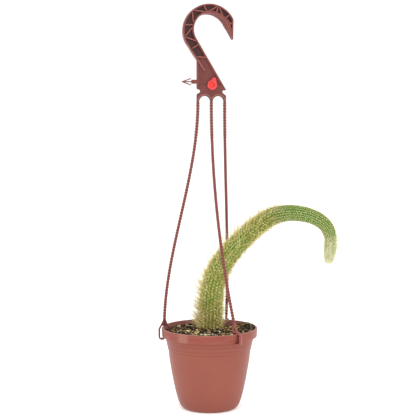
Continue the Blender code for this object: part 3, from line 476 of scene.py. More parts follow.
def loose_bits(name, dark, middle, light):
    """Chips or grains that differ from piece to piece."""
    finish = Finish(name, 0.85, 0.3)
    body = finish.ramp(finish.attribute("tone"), (0.0, dark), (1.0, light), (0.5, middle))
    speckle = finish.grain(1300.0, 4.0, 0.6)
    body = finish.mix(body, shaded(dark, 0.6), finish.span(speckle, 0.5, 0.72, 0.0, 0.3))
    finish.bump((speckle, 0.5, 0.2 * MM))
    return finish.done(body)


def cactus_skin(green):
    """Waxy skin: olive and weathered at the foot, fresh green on the arch, pale at the tip, with painted shade in the
    grooves.
    """
    finish = Finish("cactus_skin", 0.6, 0.2)
    along = finish.attribute("along")
    skin = finish.ramp(
        along,
        (0.0, (0.20, 0.16, 0.05)), (1.0, (0.34, 0.42, 0.15)), (0.13, (0.22, 0.19, 0.05)), (0.22, (0.15, 0.25, 0.024)),
        (0.42, (0.10, 0.22, 0.016)), (0.47, (0.11, 0.23, 0.020)), (0.52, (0.11, 0.20, 0.022)),
        (0.62, (0.13, 0.19, 0.028)), (0.70, green), (0.87, shaded(green, 1.05)), (0.91, (0.20, 0.31, 0.07)),
    )
    blotch = finish.grain(120.0, 5.0, 0.6)
    skin = finish.mix(skin, (0.30, 0.27, 0.07), finish.span(blotch, 0.5, 0.75, 0.0, 0.55))
    # Painted shade in the grooves between the ribs, stronger along the arch.
    groove = finish.times(finish.span(finish.attribute("groove"), 0.3, 1.0), finish.span(along, 0.5, 0.7, 0.45, 0.85))
    skin = finish.mix(skin, (0.028, 0.07, 0.012), groove)
    pores = finish.grain(2200.0, 2.0)
    skin = finish.mix(skin, (0.30, 0.40, 0.13), finish.span(pores, 0.58, 0.75, 0.0, 0.35))
    finish.bump((pores, 0.25, 0.1 * MM), (blotch, 0.2, 0.4 * MM))
    return finish.done(skin, finish.span(blotch, 0.3, 0.7, 0.5, 0.68))


def fibre_finish(name, dark, middle, light):
    """Pale fibres, each with its own tone."""
    finish = Finish(name, 0.7, 0.3)
    body = finish.ramp(finish.attribute("tone"), (0.0, dark), (1.0, light), (0.5, middle))
    body = finish.mix(body, shaded(light, 1.1), finish.span(finish.grain(900.0, 2.0), 0.5, 0.7, 0.0, 0.4))
    return finish.done(body)


# Shapes


def arc(centre, radius, start, end, steps):
    """Points on an arc, with its angles in degrees."""
    points = []
    for step in range(steps + 1):
        angle = math.radians(start + (end - start) * step / steps)
        points.append((centre[0] + radius * math.cos(angle), centre[1] + radius * math.sin(angle)))
    return points


def circle(centre, radius):
    """Points on a full circle."""
    return arc(centre, radius, 0, 348.75, 31)


def in_metres(places):
    """Places in millimetres as places in metres."""
    return [(place[0] * MM, place[1] * MM) for place in places]


def as_mesh(bm, name):
    """Turn a bmesh into a mesh."""
    mesh = bpy.data.meshes.new(name)
    bm.to_mesh(mesh)
    bm.free()
    return mesh


def as_object(name, data):
    """Put data in the scene as an object."""
    item = bpy.data.objects.new(name, data)
    bpy.context.scene.collection.objects.link(item)
    return item


def keep_sharp(mesh, angle):
    """Smooth shading with edges kept where they are sharper than the angle."""
    mesh.shade_smooth()
    mesh.set_sharp_from_angle(angle=math.radians(angle))


def finish_piece(name, bm, material, nodes=(), crease=35.0, turn_out=True):
    """Make a finished piece from a bmesh and let it ride on the part."""
    if turn_out:
        bmesh.ops.recalc_face_normals(bm, faces=bm.faces)
    mesh = as_mesh(bm, name)
    mesh.materials.append(material)
    keep_sharp(mesh, crease)
    piece = as_object(name, mesh)
    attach(piece, "root")
    if nodes:
        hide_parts(*nodes)
    return piece


def take_in(bm, part, tone=0.7):
    """Add a finished shell to a piece, with the tone of its surface, which the hanger's finish reads as painted light
    and shade.
    """
    if "tone" not in part.verts.layers.float:
        layer = part.verts.layers.float.new("tone")
        for vert in part.verts:
            vert[layer] = tone
    if "tone" not in bm.verts.layers.float:
        bm.verts.layers.float.new("tone")
    bmesh.ops.recalc_face_normals(part, faces=part.faces)
    shell = as_mesh(part, "shell")
    bm.from_mesh(shell)
    bpy.data.meshes.remove(shell)


def bevel(bm, edges, width, segments):
    """Round or chamfer some edges."""
    bmesh.ops.bevel(bm, geom=edges, offset=width, offset_type='OFFSET', segments=segments, profile=0.5,
                    affect='EDGES', clamp_overlap=True, material=-1)


def round_edges(bm, width, segments=2, sharper_than=25.0):
    """Round the edges that are sharper than an angle."""
    limit = math.radians(sharper_than)
    edges = [edge for edge in bm.edges if len(edge.link_faces) == 2 and edge.calc_face_angle(0.0) > limit]
    bevel(bm, edges, width, segments)


def weld(bm, distance):
    """Merge the points that coincide and close the open ends."""
    bmesh.ops.remove_doubles(bm, verts=bm.verts, dist=distance)
    bmesh.ops.holes_fill(bm, edges=[edge for edge in bm.edges if edge.is_boundary], sides=0)


def slab(outline, low, high, width):
    """A flat outline in (u, z), extruded between two depths v and rounded at its edges."""
    bm = bmesh.new()
    corners = [bm.verts.new((u, low, z)) for u, z in outline]
    face = bm.faces.new(corners)
    moved = bmesh.ops.extrude_face_region(bm, geom=[face])["geom"]
    fresh = [item for item in moved if isinstance(item, bmesh.types.BMVert)]
    bmesh.ops.translate(bm, verts=fresh, vec=(0, high - low, 0))
    bmesh.ops.recalc_face_normals(bm, faces=bm.faces)
    if width:
        round_edges(bm, width)
    return bm


def bar(start, end, across, depth, width):
    """A straight bar in the hanger's plane."""
    along = (Vector(end) - Vector(start)).normalized()
    side = Vector((-along.y, along.x)) * across / 2
    corners = [Vector(start) + side, Vector(end) + side, Vector(end) - side, Vector(start) - side]
    return slab([tuple(corner) for corner in corners], -depth / 2, depth / 2, width)


def band(inner, outer, depth, width):
    """A strip between two lines of points that run the same way."""
    return slab([*outer, *reversed(inner)], -depth / 2, depth / 2, width)


def tube(centres, sides, reach, levels):
    """A closed tube: a grid bent round a centre line. Levels name the numbers kept on its points."""
    bm = bmesh.new()
    last = len(centres) - 1
    bmesh.ops.create_grid(bm, x_segments=sides, y_segments=last, size=0.5)
    layers = [bm.verts.layers.float.new(name) for name in levels]
    for vert in bm.verts:
        step = round((vert.co.y + 0.5) * last)
        corner = round((vert.co.x + 0.5) * sides) % sides
        angle = 2 * math.pi * corner / sides
        centre, side, top = centres[step]
        distance, numbers = reach(corner / sides, step)
        vert.co = centre + distance * (math.cos(angle) * side + math.sin(angle) * top)
        for layer, number in zip(layers, numbers):
            vert[layer] = number
    weld(bm, 0.002 * MM)
    return bm


def spline(points, steps):
    """Even points on a smooth curve through the given points."""
    ends = [2 * points[0] - points[1], *points, 2 * points[-1] - points[-2]]
    dense = []
    for before, start, end, after in zip(ends, ends[1:], ends[2:], ends[3:]):
        for part in range(16):
            t = part / 16
            curve = 2 * start + (end - before) * t
            curve += (2 * before - 5 * start + 4 * end - after) * t ** 2
            curve += (3 * start - before - 3 * end + after) * t ** 3
            dense.append(curve / 2)
    dense.append(points[-1])
    lengths = [0.0]
    for start, end in zip(dense, dense[1:]):
        lengths.append(lengths[-1] + (end - start).length)
    even = []
    index = 0
    for step in range(steps + 1):
        wanted = lengths[-1] * step / steps
        while index < len(lengths) - 2 and lengths[index + 1] < wanted:
            index += 1
        share = (wanted - lengths[index]) / (lengths[index + 1] - lengths[index])
        even.append(dense[index].lerp(dense[index + 1], share))
    return even, lengths[-1]


def scatter(name, shapes, copies, material):
    """One piece made of many copies of small shapes. A copy is (shape number, matrix, tone)."""
    bm = bmesh.new()
    rest = []
    for shape in shapes:
        places = [0.0] * (3 * len(shape.vertices))
        shape.vertices.foreach_get("co", places)
        rest.append(places)
    tones = []
    for number, matrix, tone in copies:
        shape = shapes[number]
        shape.vertices.foreach_set("co", rest[number])
        shape.transform(matrix)
        bm.from_mesh(shape)
        tones.extend([tone] * len(shape.vertices))
    for shape in shapes:
        bpy.data.meshes.remove(shape)
    piece = finish_piece(name, bm, material, turn_out=False)
    piece.data.attributes.new("tone", 'FLOAT', 'POINT').data.foreach_set("value", tones)


def small_shape(bm):
    """A mesh that is copied many times."""
    bmesh.ops.recalc_face_normals(bm, faces=bm.faces)
    shape = as_mesh(bm, "small_shape")
    shape.shade_smooth()
    return shape


def roughen(bm, amount, scale, draw):
    """Make a plain shape uneven."""
    shift = Vector([draw.uniform(0, 9) for axis in range(3)])
    for vert in bm.verts:
        vert.co *= 1 + amount * noise.noise(vert.co * scale + shift)
    return small_shape(bm)


def crumb_shapes(count, detail, roughness, draw):
    """Irregular lumps, about 1 m across before they are scaled."""
    shapes = []
    for number in range(count):
        bm = bmesh.new()
        bmesh.ops.create_icosphere(bm, subdivisions=detail, radius=0.5)
        shapes.append(roughen(bm, roughness, 2.6, draw))
    return shapes


def chip_shapes(count, draw):
    """Splintered chips of bark, about 1 m across before they are scaled."""
    shapes = []
    for number in range(count):
        bm = bmesh.new()
        bmesh.ops.create_cube(bm, size=1.0)
        bevel(bm, bm.edges[:], 0.12, 1)
        shapes.append(roughen(bm, 0.6, 1.7, draw))
    return shapes


def hair_shapes(cuts, tip, bends):
    """Bent three-sided hairs along +Z, 1 m long and 1 m in root radius before they are scaled."""
    shapes = []
    for bend in bends:
        bm = bmesh.new()
        bmesh.ops.create_cone(bm, cap_ends=True, segments=3, radius1=1.0, radius2=tip, depth=1.0,
                              matrix=Matrix.Translation((0, 0, 0.5)))
        for cut in range(1, cuts + 1):
            bmesh.ops.bisect_plane(bm, geom=bm.verts[:] + bm.edges[:] + bm.faces[:], dist=1e-5,
                                   plane_co=(0, 0, cut / (cuts + 1)), plane_no=(0, 0, 1))
        shapes.append(small_shape(bm))
        for vert in shapes[-1].vertices:
            vert.co.x += bend * vert.co.z ** 2
    return shapes


# Pot


def taper_radius(height):
    """Outer radius of the smooth lower wall."""
    share = max(0.0, (height - BODY_FOOT[1]) / (TAPER_TOP[1] - BODY_FOOT[1]))
    return BODY_FOOT[0] + (TAPER_TOP[0] - BODY_FOOT[0]) * share ** 0.6


def stepped_radius(height, steps_below):
    """Outer radius of the upper wall at a height that has a number of steps below it."""
    growth = BODY_TOP_RADIUS - TAPER_TOP[0] - len(STEP_HEIGHTS) * STEP_DEPTH
    slope = growth / (POT_HEIGHT - RIM_BAND_HEIGHT - TAPER_TOP[1])
    return TAPER_TOP[0] + slope * (height - TAPER_TOP[1]) + steps_below * STEP_DEPTH


def pot_profile(settings):
    """Outer and inner profile of the pot's wall, from the centre of its base round to its floor."""
    top = settings.height
    rim = settings.rim_radius
    wall = settings.wall
    low = top - RIM_BAND_HEIGHT
    profile = [*in_metres(BASE_MM), BODY_FOOT]
    profile += [(taper_radius(height * MM), height * MM) for height in OUTSIDE_HEIGHTS_MM]
    profile.append(TAPER_TOP)
    for below, height in enumerate(STEP_HEIGHTS):
        under = stepped_radius(height, below)
        over = stepped_radius(height + STEP_RISE, below + 1)
        profile += [(under, height), (under + 0.1 * MM, height + 0.05 * MM)]
        profile += [(over - 0.1 * MM, height + STEP_RISE / 2), (over, height + STEP_RISE)]
    profile += [(BODY_TOP_RADIUS, low - 0.5 * MM), (BODY_TOP_RADIUS + 0.5 * MM, low)]
    profile += arc((rim - 1.0 * MM, low + 0.5 * MM), 0.5 * MM, -90, 0, 3)
    profile += arc((rim - 0.8 * MM, top - 0.8 * MM), 0.8 * MM, 0, 90, 5)
    profile += arc((rim - RIM_LIP_WIDTH + 0.6 * MM, top - 0.6 * MM), 0.6 * MM, 90, 180, 4)
    profile += [(rim - RIM_LIP_WIDTH - 0.3 * MM, low + 1.6 * MM), (BODY_TOP_RADIUS - wall, low - 1.0 * MM)]
    profile.append((stepped_radius(STEP_HEIGHTS[0], 0) - wall, STEP_HEIGHTS[0]))
    profile += [(taper_radius(height * MM) - wall, height * MM) for height in INSIDE_HEIGHTS_MM]
    return [*profile, (0.0, INSIDE_HEIGHTS_MM[-1] * MM)]


class CACTUS_OT_pot(bpy.types.Operator):
    """Turn the pot and cut its drain holes"""

    bl_idname = "cactus.add_pot"
    bl_label = "Pot"

    def execute(self, context):
        settings = context.scene.pot_settings
        bm = bmesh.new()
        profile = [bm.verts.new((radius, 0.0, height)) for radius, height in pot_profile(settings)]
        edges = [bm.edges.new(pair) for pair in zip(profile, profile[1:])]
        bmesh.ops.spin(bm, geom=profile + edges, cent=(0, 0, 0), axis=(0, 0, 1), angle=2 * math.pi,
                       steps=POT_TURN_STEPS, use_merge=True)
        weld(bm, 0.004 * MM)
        pot = finish_piece("pot_shell", bm, pot_plastic(settings.colour), ["pot"], 28.0)
        cutter = bmesh.new()
        for x, y in arc((0, 0), DRAIN_CIRCLE_RADIUS, 45, 315, DRAIN_HOLES - 1):
            bmesh.ops.create_cone(cutter, cap_ends=True, segments=32, radius1=DRAIN_HOLE_RADIUS,
                                  radius2=DRAIN_HOLE_RADIUS, depth=8 * MM, matrix=Matrix.Translation((x, y, 1 * MM)))
        cut_away(pot, cutter)
        return {'FINISHED'}


def cut_away(piece, cutter):
    """Cut a shape out of a piece."""
    mesh = as_mesh(cutter, "cutter")
    tool = as_object("cutter", mesh)
    modifier = piece.modifiers.new("Cut", 'BOOLEAN')
    modifier.operation = 'DIFFERENCE'
    modifier.object = tool
    modifier.solver = 'EXACT'
    bpy.context.view_layer.update()
    with bpy.context.temp_override(object=piece, active_object=piece):
        bpy.ops.object.modifier_apply(modifier=modifier.name)
    bpy.data.objects.remove(tool, do_unlink=True)
    bpy.data.meshes.remove(mesh)


# Soil


def bearing_gap(first, second):
    """Smallest difference between two bearings in degrees."""
    return abs((first - second + 180) % 360 - 180)


def soil_height(x, y):
    """Height of the soil's uneven top."""
    away = math.hypot(x, y)
    bearing = math.degrees(math.atan2(y, x))
    from_stem = math.hypot(x - STEM_FOOT[0], y - STEM_FOOT[1])
    height = SOIL_LEVEL + STEM_MOUND[0] * math.exp(-(from_stem / STEM_MOUND[1]) ** 2)
    rise, azimuth, spread, radius, width = RIGHT_BANK
    bank = math.exp(-(bearing_gap(bearing, azimuth) / spread) ** 2) * math.exp(-((away - radius) / width) ** 2)
    drop, azimuth, spread = BACK_HOLLOW
    hollow = math.exp(-(bearing_gap(bearing, azimuth) / spread) ** 2) * (away / SOIL_EDGE_RADIUS) ** 2
    height += rise * bank - drop * hollow
    return height + 0.9 * MM * noise.noise(Vector((x, y, 0)) / (7 * MM))


def crumbly_height(x, y):
    """Height of the soil's top with its fine crumbs."""
    place = Vector((x, y, 0))
    fine = 0.7 * noise.noise(place / (2.6 * MM)) + 0.45 * noise.noise(place / (1.1 * MM))
    return soil_height(x, y) + fine * MM


def free_spot(draw, gathered):
    """A random place on the soil, clear of the stem. A share of the places is gathered at the front."""
    while True:
        angle = draw.uniform(0, 2 * math.pi)
        away = STREWN_RADIUS * math.sqrt(draw.random())
        if draw.random() < gathered:
            angle = draw.gauss(*FRONT_CLUSTER)
            away = draw.uniform(0.4, 0.6) * STREWN_RADIUS
        x = away * math.cos(angle)
        y = away * math.sin(angle)
        if math.hypot(x - STEM_FOOT[0], y - STEM_FOOT[1]) > CLEAR_OF_STEM:
            return x, y


def lay_pieces(count, size, stretch, sunk, draw, shapes, gathered=0.0):
    """Copies of small shapes, laid on the soil with a random turn."""
    copies = []
    for number in range(count):
        x, y = free_spot(draw, gathered)
        across = draw.uniform(*size)
        scale = Matrix.Diagonal([across * draw.uniform(*span) for span in stretch] + [1.0])
        turn = Matrix.Rotation(draw.uniform(0, 6.28), 4, 'Z') @ Matrix.Rotation(draw.uniform(-0.7, 0.7), 4, 'X')
        place = Matrix.Translation((x, y, soil_height(x, y) + sunk * across))
        copies.append((draw.randrange(shapes), place @ turn @ scale, draw.random()))
    return copies


class CACTUS_OT_soil(bpy.types.Operator):
    """Shape the filled soil with its uneven top"""

    bl_idname = "cactus.add_soil"
    bl_label = "Soil"

    def execute(self, context):
        settings = context.scene.soil_settings
        bm = bmesh.new()
        bmesh.ops.create_grid(bm, x_segments=SOIL_GRID[0], y_segments=SOIL_GRID[1], size=0.5)
        for vert in bm.verts:
            angle = 2 * math.pi * (vert.co.x + 0.5)
            share = vert.co.y + 0.5
            if share < SOIL_SIDE_SHARE:
                height = SOIL_FLOOR + share / SOIL_SIDE_SHARE * (SOIL_LEVEL - 8 * MM)
                radius = min(taper_radius(height) - SOIL_TO_WALL, SOIL_SIDE_RADIUS)
                vert.co = (radius * math.cos(angle), radius * math.sin(angle), height)
            else:
                radius = SOIL_EDGE_RADIUS * (1 - share) / (1 - SOIL_SIDE_SHARE)
                x = radius * math.cos(angle)
                y = radius * math.sin(angle)
                vert.co = (x, y, crumbly_height(x, y))
        weld(bm, 0.004 * MM)
        finish_piece("soil_body", bm, peat(settings.peat), ["soil"], 60.0)
        return {'FINISHED'}


class CACTUS_OT_soil_bits(bpy.types.Operator):
    """Strew peat crumbs, bark chips and perlite over the soil"""

    bl_idname = "cactus.add_soil_bits"
    bl_label = "Crumbs, bark and perlite"

    def execute(self, context):
        settings = context.scene.soil_settings
        draw = random.Random(21)
        dark = settings.peat
        material = loose_bits("peat_crumbs", shaded(dark, 0.35), shaded(dark, 0.9), (0.20, 0.13, 0.06))
        even = ((0.8, 1.3), (0.7, 1.0), (0.6, 0.9))
        copies = lay_pieces(settings.crumbs, (1.1 * MM, 3.0 * MM), even, 0.1, draw, 10)
        scatter("soil_crumbs", crumb_shapes(10, 2, 0.9, draw), copies, material)
        material = loose_bits("bark", (0.06, 0.03, 0.01), settings.bark, (1.0, 0.84, 0.44))
        long = ((1.1, 2.0), (0.6, 1.0), (0.4, 0.7))
        copies = lay_pieces(settings.chips, (0.8 * MM, 1.9 * MM), long, 0.35, draw, 8)
        scatter("bark_chips", chip_shapes(8, draw), copies, material)
        material = loose_bits("perlite", shaded(settings.perlite, 0.75), settings.perlite, (0.95, 0.93, 0.82))
        copies = lay_pieces(settings.grains, (0.8 * MM, 1.9 * MM), even, 0.35, draw, 8, gathered=0.5)
        scatter("perlite_grains", crumb_shapes(8, 2, 0.5, draw), copies, material)
        return {'FINISHED'}


# Cactus


def youth(share):
    """How far a place along the stem belongs to the clean young arch, from 0 to 1."""
    return min(1.0, max(0.0, (share - BARE_FROM) / BARE_BLEND))


class StemPath:
    """The stem's centre line, with its axes and radius read by the share of its length."""

    def __init__(self, settings):
        self.settings = settings
        reach = STEM_BENDS_MM[-1][0]
        points = [Vector((STEM_FOOT[0], STEM_FOOT[1], STEM_BOTTOM))]
        for across, up in STEM_BENDS_MM:
            y = STEM_FOOT[1] + (STEM_TIP_Y - STEM_FOOT[1]) * across / reach
            points.append(Vector((STEM_FOOT[0] + across * MM, y, up * MM)))
        self.points, self.length = spline(points, STEM_STEPS)

    def axes(self, share):
        """Centre, tangent, side and top at a share of the length."""
        at = min(max(share, 0.0), 1.0) * STEM_STEPS
        index = min(int(at), STEM_STEPS - 1)
        centre = self.points[index].lerp(self.points[index + 1], at - index)
        before = self.points[max(index - 1, 0)]
        after = self.points[min(index + 2, STEM_STEPS)]
        tangent = (after - before).normalized()
        side = Vector((0, 1, 0)).cross(tangent).normalized()
        return centre, tangent, side, tangent.cross(side)

    def radius(self, share, angle):
        """Radius at the rib crests, stepped in beyond the slanted growth seam."""
        base = self.settings.base_radius
        radius = base + (self.settings.tip_radius - base) * share ** STEM_SHRINK_POWER
        beyond = share - self.seam(angle)
        if beyond > 0:
            radius -= SEAM_STEP * max(0.0, 1 - beyond / SEAM_FADE)
        if share > TIP_AT:
            radius -= TIP_STEP
        left = (1 - share) * self.length
        if left < STEM_CAP_LENGTH:
            radius *= math.sqrt(max(0.0, 1 - (1 - left / STEM_CAP_LENGTH) ** STEM_CAP_POWER))
        return max(radius, STEM_CAP_FLAT)

    def seam(self, angle):
        """Share of the length at which the growth seam crosses an angle."""
        return SEAM_AT - SEAM_TILT / self.length * math.cos(angle)

    def surface(self, share, angle):
        """Root, outward direction and tangent at a place on the rib crests."""
        centre, tangent, side, top = self.axes(share)
        outward = math.cos(angle) * side + math.sin(angle) * top
        return centre + self.radius(share, angle) * outward, outward, tangent

    def ground(self):
        """Share of the length that lies under the soil."""
        return (SOIL_LEVEL + STEM_MOUND[0] - STEM_BOTTOM) / self.length

    def row(self, share):
        """Number of areole rows from the ground to a share of the length. They close up along the arch."""
        young = max(0.0, share - BARE_FROM)
        return (share - self.ground() + ROW_CLOSING * young ** 2) * self.length / self.settings.areole_pitch

    def areoles(self):
        """Each areole as (share, angle)."""
        old_rows = BARE_FROM - self.ground()
        for rib in range(self.settings.ribs):
            for number in range(int(self.row(1.0))):
                share = (number + 0.5 * (rib % 2)) * self.settings.areole_pitch / self.length
                beyond = share - old_rows
                if beyond > 0:
                    share = old_rows + (math.sqrt(1 + 4 * ROW_CLOSING * beyond) - 1) / (2 * ROW_CLOSING)
                share += self.ground()
                angle = 2 * math.pi * rib / self.settings.ribs
                if abs(share - self.seam(angle)) * self.length > SEAM_CLEARANCE:
                    yield share, angle


class CACTUS_OT_stem(bpy.types.Operator):
    """Grow the ribbed stem"""

    bl_idname = "cactus.add_stem"
    bl_label = "Stem"

    def execute(self, context):
        settings = context.scene.cactus_settings
        path = StemPath(settings)
        centres = []
        shares = []
        for step in range(STEM_STEPS + 1):
            share = STEM_START + (1 - STEM_START) * step / STEM_STEPS
            centre, tangent, side, top = path.axes(share)
            centres.append((centre, side, top))
            shares.append(share)

        def reach(turn, step):
            share = shares[step]
            radius = path.radius(share, 2 * math.pi * turn)
            slim = radius / settings.base_radius
            phase = turn * settings.ribs
            crest = (0.5 + 0.5 * math.cos(2 * math.pi * phase)) ** 0.7
            rib = round(phase) % settings.ribs
            swell = 0.5 + 0.5 * math.cos(2 * math.pi * (path.row(share) - 0.5 * (rib % 2)))
            relief = -settings.rib_depth * (1 - crest) - 0.5 * MM * crest * (1 - swell)
            return radius + slim * relief, (share, 1 - crest)

        bm = tube(centres, settings.ribs * STEM_SIDES_PER_RIB, reach, ("along", "groove"))
        material = cactus_skin(settings.green)
        finish_piece("cactus_skin", bm, material, ["cactus_stem"], 60.0)
        return {'FINISHED'}


def hair_copy(draw, root, direction, length, thickness, tone):
    """One hair of a given length and root radius in millimetres, with a random shape and roll."""
    turn = direction.normalized().to_track_quat('Z', 'X').to_matrix().to_4x4()
    roll = Matrix.Rotation(draw.uniform(0, 2 * math.pi), 4, 'Z')
    scale = Matrix.Diagonal((thickness * MM, thickness * MM, length * MM, 1.0))
    return draw.randrange(3), Matrix.Translation(root) @ turn @ roll @ scale, tone


class CACTUS_OT_seam(bpy.types.Operator):
    """Lay the pale growth seam where the old stem ends and the new growth begins"""

    bl_idname = "cactus.add_seam"
    bl_label = "Growth seam"

    def execute(self, context):
        path = StemPath(context.scene.cactus_settings)
        draw = random.Random(35)
        bm = bmesh.new()
        bmesh.ops.create_grid(bm, x_segments=90, y_segments=8, size=0.5)
        for vert in bm.verts:
            angle = 2 * math.pi * (vert.co.x + 0.5)
            around = 2 * math.pi * (vert.co.y + 0.5)
            wobble = 0.0035 * noise.noise(Vector((3 * math.cos(angle), 3 * math.sin(angle), 0)))
            root, outward, tangent = path.surface(path.seam(angle) + wobble, angle)
            thick = 0.35 + 0.45 * (0.5 - 0.5 * math.cos(angle))
            across = 0.8 * thick * math.cos(around) * MM
            vert.co = root + (thick * math.sin(around) - 0.15) * MM * outward + across * tangent
        weld(bm, 0.004 * MM)
        layer = bm.verts.layers.float.new("tone")
        for vert in bm.verts:
            vert[layer] = draw.random()
        material = fibre_finish("seam_cork", (0.44, 0.40, 0.12), (0.66, 0.60, 0.22), (0.84, 0.78, 0.38))
        finish_piece("growth_seam", bm, material)
        return {'FINISHED'}


class CACTUS_OT_areoles(bpy.types.Operator):
    """Set woolly areoles along the ribs"""

    bl_idname = "cactus.add_areoles"
    bl_label = "Areoles"

    def execute(self, context):
        path = StemPath(context.scene.cactus_settings)
        draw = random.Random(31)
        copies = []
        for share, angle in path.areoles():
            young = youth(share)
            share += draw.uniform(-0.002, 0.002) * (1 - 0.7 * young)
            root, outward, tangent = path.surface(share, angle)
            across = tangent.cross(outward)
            turn = Matrix((across, tangent, outward)).transposed().to_4x4()
            size = (0.95 - 0.2 * young) * draw.uniform(0.7, 1.25) * MM
            scale = Matrix.Diagonal((size, size * (1.2 + 0.3 * young), size * 0.7, 1.0))
            place = Matrix.Translation(root - 0.1 * MM * outward)
            tone = 0.6 * young + 0.4 * draw.random()
            copies.append((draw.randrange(6), place @ turn @ scale, tone))
        material = fibre_finish("areole_wool", (0.40, 0.29, 0.08), (0.66, 0.52, 0.22), (0.86, 0.68, 0.46))
        scatter("areoles", crumb_shapes(6, 1, 0.6, draw), copies, material)
        return {'FINISHED'}


class CACTUS_OT_spines(bpy.types.Operator):
    """Fan spines out of every areole: a dense straw-coloured coat below and short neat combs on the arch"""

    bl_idname = "cactus.add_spines"
    bl_label = "Spines"

    def execute(self, context):
        path = StemPath(context.scene.cactus_settings)
        draw = random.Random(41)
        old = []
        new = []
        for share, angle in path.areoles():
            root, outward, tangent = path.surface(share, angle)
            across = tangent.cross(outward)
            young = youth(share)
            upper_side = 0.5 - 0.5 * outward.z
            patch = 0.5 + noise.noise(root / (9 * MM))
            vigour = draw.uniform(0.6, 1.4)
            shade = 0.45 * draw.random() + 0.2 * patch
            for number in range(round(path.settings.spines * vigour * (1 - 0.5 * young))):
                central = number < 5
                around = draw.uniform(0, 2 * math.pi)
                spread = draw.uniform(0.2, 0.9) if central else draw.uniform(1.2, 3.5)
                direction = outward + spread * (math.cos(around) * across + math.sin(around) * tangent)
                direction += 0.6 * tangent
                length = draw.uniform(2.2, 4.6) if central else draw.uniform(1.5, 3.0)
                length *= (1 - 0.6 * young) * (1 - 0.25 * upper_side) * (0.7 + 0.3 * vigour)
                tone = shade + 0.35 * draw.random()
                hair = hair_copy(draw, root - 0.2 * MM * outward, direction, length, 0.21 - 0.05 * young, tone)
                (new if young > 0.5 else old).append(hair)
        bends = (0.0, 8.0, 16.0)
        material = fibre_finish("spine_straw", (0.38, 0.26, 0.05), (0.78, 0.66, 0.22), (1.0, 0.94, 0.56))
        scatter("spines_old_stem", hair_shapes(0, 0.45, bends), old, material)
        material = fibre_finish("spine_cream", (0.44, 0.33, 0.13), (0.74, 0.62, 0.34), (0.96, 0.86, 0.62))
        scatter("spines_arch", hair_shapes(0, 0.4, bends), new, material)
        return {'FINISHED'}


class CACTUS_OT_hairs(bpy.types.Operator):
    """Add the hairs of the old stem, long ones first, and the pale wool of the growing tip"""

    bl_idname = "cactus.add_hairs"
    bl_label = "Long hairs"

    def execute(self, context):
        settings = context.scene.cactus_settings
        path = StemPath(settings)
        draw = random.Random(51)
        copies = []
        ground = path.ground()
        while len(copies) < settings.foot_hairs:
            high = draw.random() ** 1.2
            angle = draw.uniform(0, 2 * math.pi)
            root, outward, tangent = path.surface(ground + (BARE_FROM + 0.1 - ground) * high, angle)
            left = max(0.0, -outward.x)
            low = max(0.0, 1 - high / 0.14)
            sway = draw.uniform(-0.4, 0.4) * tangent.cross(outward)
            if len(copies) < settings.halo_hairs:
                right = max(0.0, outward.x, -outward.z)
                if draw.random() > 0.05 + 0.95 * max(left ** 1.5, 0.35 * right ** 2, 0.5 * low * abs(outward.x)):
                    continue
                direction = draw.uniform(0.5, 1.9) * outward + tangent + sway
                length = draw.uniform(7.0, 20.0) * (1 - 0.15 * high) * (1 - 0.35 * right)
                tone = 0.35 + 0.65 * draw.random()
                thickness = 0.25 - 0.03 * high
            else:
                if draw.random() > 0.2 + 0.8 * left:
                    continue
                direction = outward + draw.uniform(0.3, 1.4) * tangent + sway
                length = draw.uniform(2.4, 4.6) * (1 - 0.35 * high) + 1.5 * low
                tone = draw.random()
                thickness = 0.17
            copies.append(hair_copy(draw, root - 0.6 * MM * outward, direction, length, thickness, tone))
        material = fibre_finish("foot_hair", (0.36, 0.27, 0.07), (0.62, 0.52, 0.19), (0.92, 0.84, 0.48))
        scatter("foot_hairs", hair_shapes(1, 0.45, (0.0, 6.0, 12.0)), copies, material)
        copies = []
        while len(copies) < settings.tip_hairs:
            far = draw.random() ** 0.5
            angle = draw.uniform(0, 2 * math.pi)
            root, outward, tangent = path.surface(TIP_AT - 0.006 + (1 - TIP_AT) * far, angle)
            ruff = outward.x > 0.3 and far < 0.5
            halo = 0.75 if ruff else 0.18
            flare = draw.uniform(0.7, 3.2 if ruff else 1.7) if draw.random() < halo else draw.uniform(0.03, 0.5)
            direction = flare * outward + 1.3 * tangent + draw.uniform(-0.25, 0.25) * tangent.cross(outward)
            length = draw.uniform(2.5, 6.5) * (1.1 - 0.4 * far)
            streak = noise.noise(Vector((6 * math.cos(angle), 6 * math.sin(angle), 1.0 * far)))
            tone = 0.1 + 0.6 * draw.random() + 0.5 * streak + 0.35 * far
            copies.append(hair_copy(draw, root - 0.4 * MM * outward, direction, length, 0.28 if ruff else 0.21, tone))
        material = fibre_finish("tip_wool", (0.20, 0.28, 0.06), (0.70, 0.74, 0.36), (1.0, 1.0, 0.86))
        scatter("tip_hairs", hair_shapes(1, 0.3, (0.0, 8.0, 16.0)), copies, material)
        return {'FINISHED'}


# Hanger


def to_pot_axes(bm):
    """Turn a piece from the hanger's plane to the pot's axes."""
    bmesh.ops.rotate(bm, cent=(0, 0, 0), matrix=Matrix.Rotation(math.radians(HANGER_YAW), 3, 'Z'), verts=bm.verts)


def plate_right(height, inset=0.0):
    """Place of the plate's slanted right edge at a height, moved inwards."""
    foot = PLATE_RIGHT_FOOT
    centre, radius, start = THROAT[:3]
    head = arc(centre, radius, start, start, 1)[0]
    share = (height - foot[1]) / (head[1] - foot[1])
    return foot[0] + (head[0] - foot[0]) * share - inset / math.cos(math.radians(PLATE_LEAN))


def throat_line(offset):
    """Inner line of the hook, from the plate to the tip, moved outwards by an offset."""
    centre, radius, start, end = THROAT
    points = arc(centre, radius + offset, start, end, 26)
    centre, radius, start, end = THROAT_ROOF
    return points + arc(centre, radius + offset, start, end, 14)


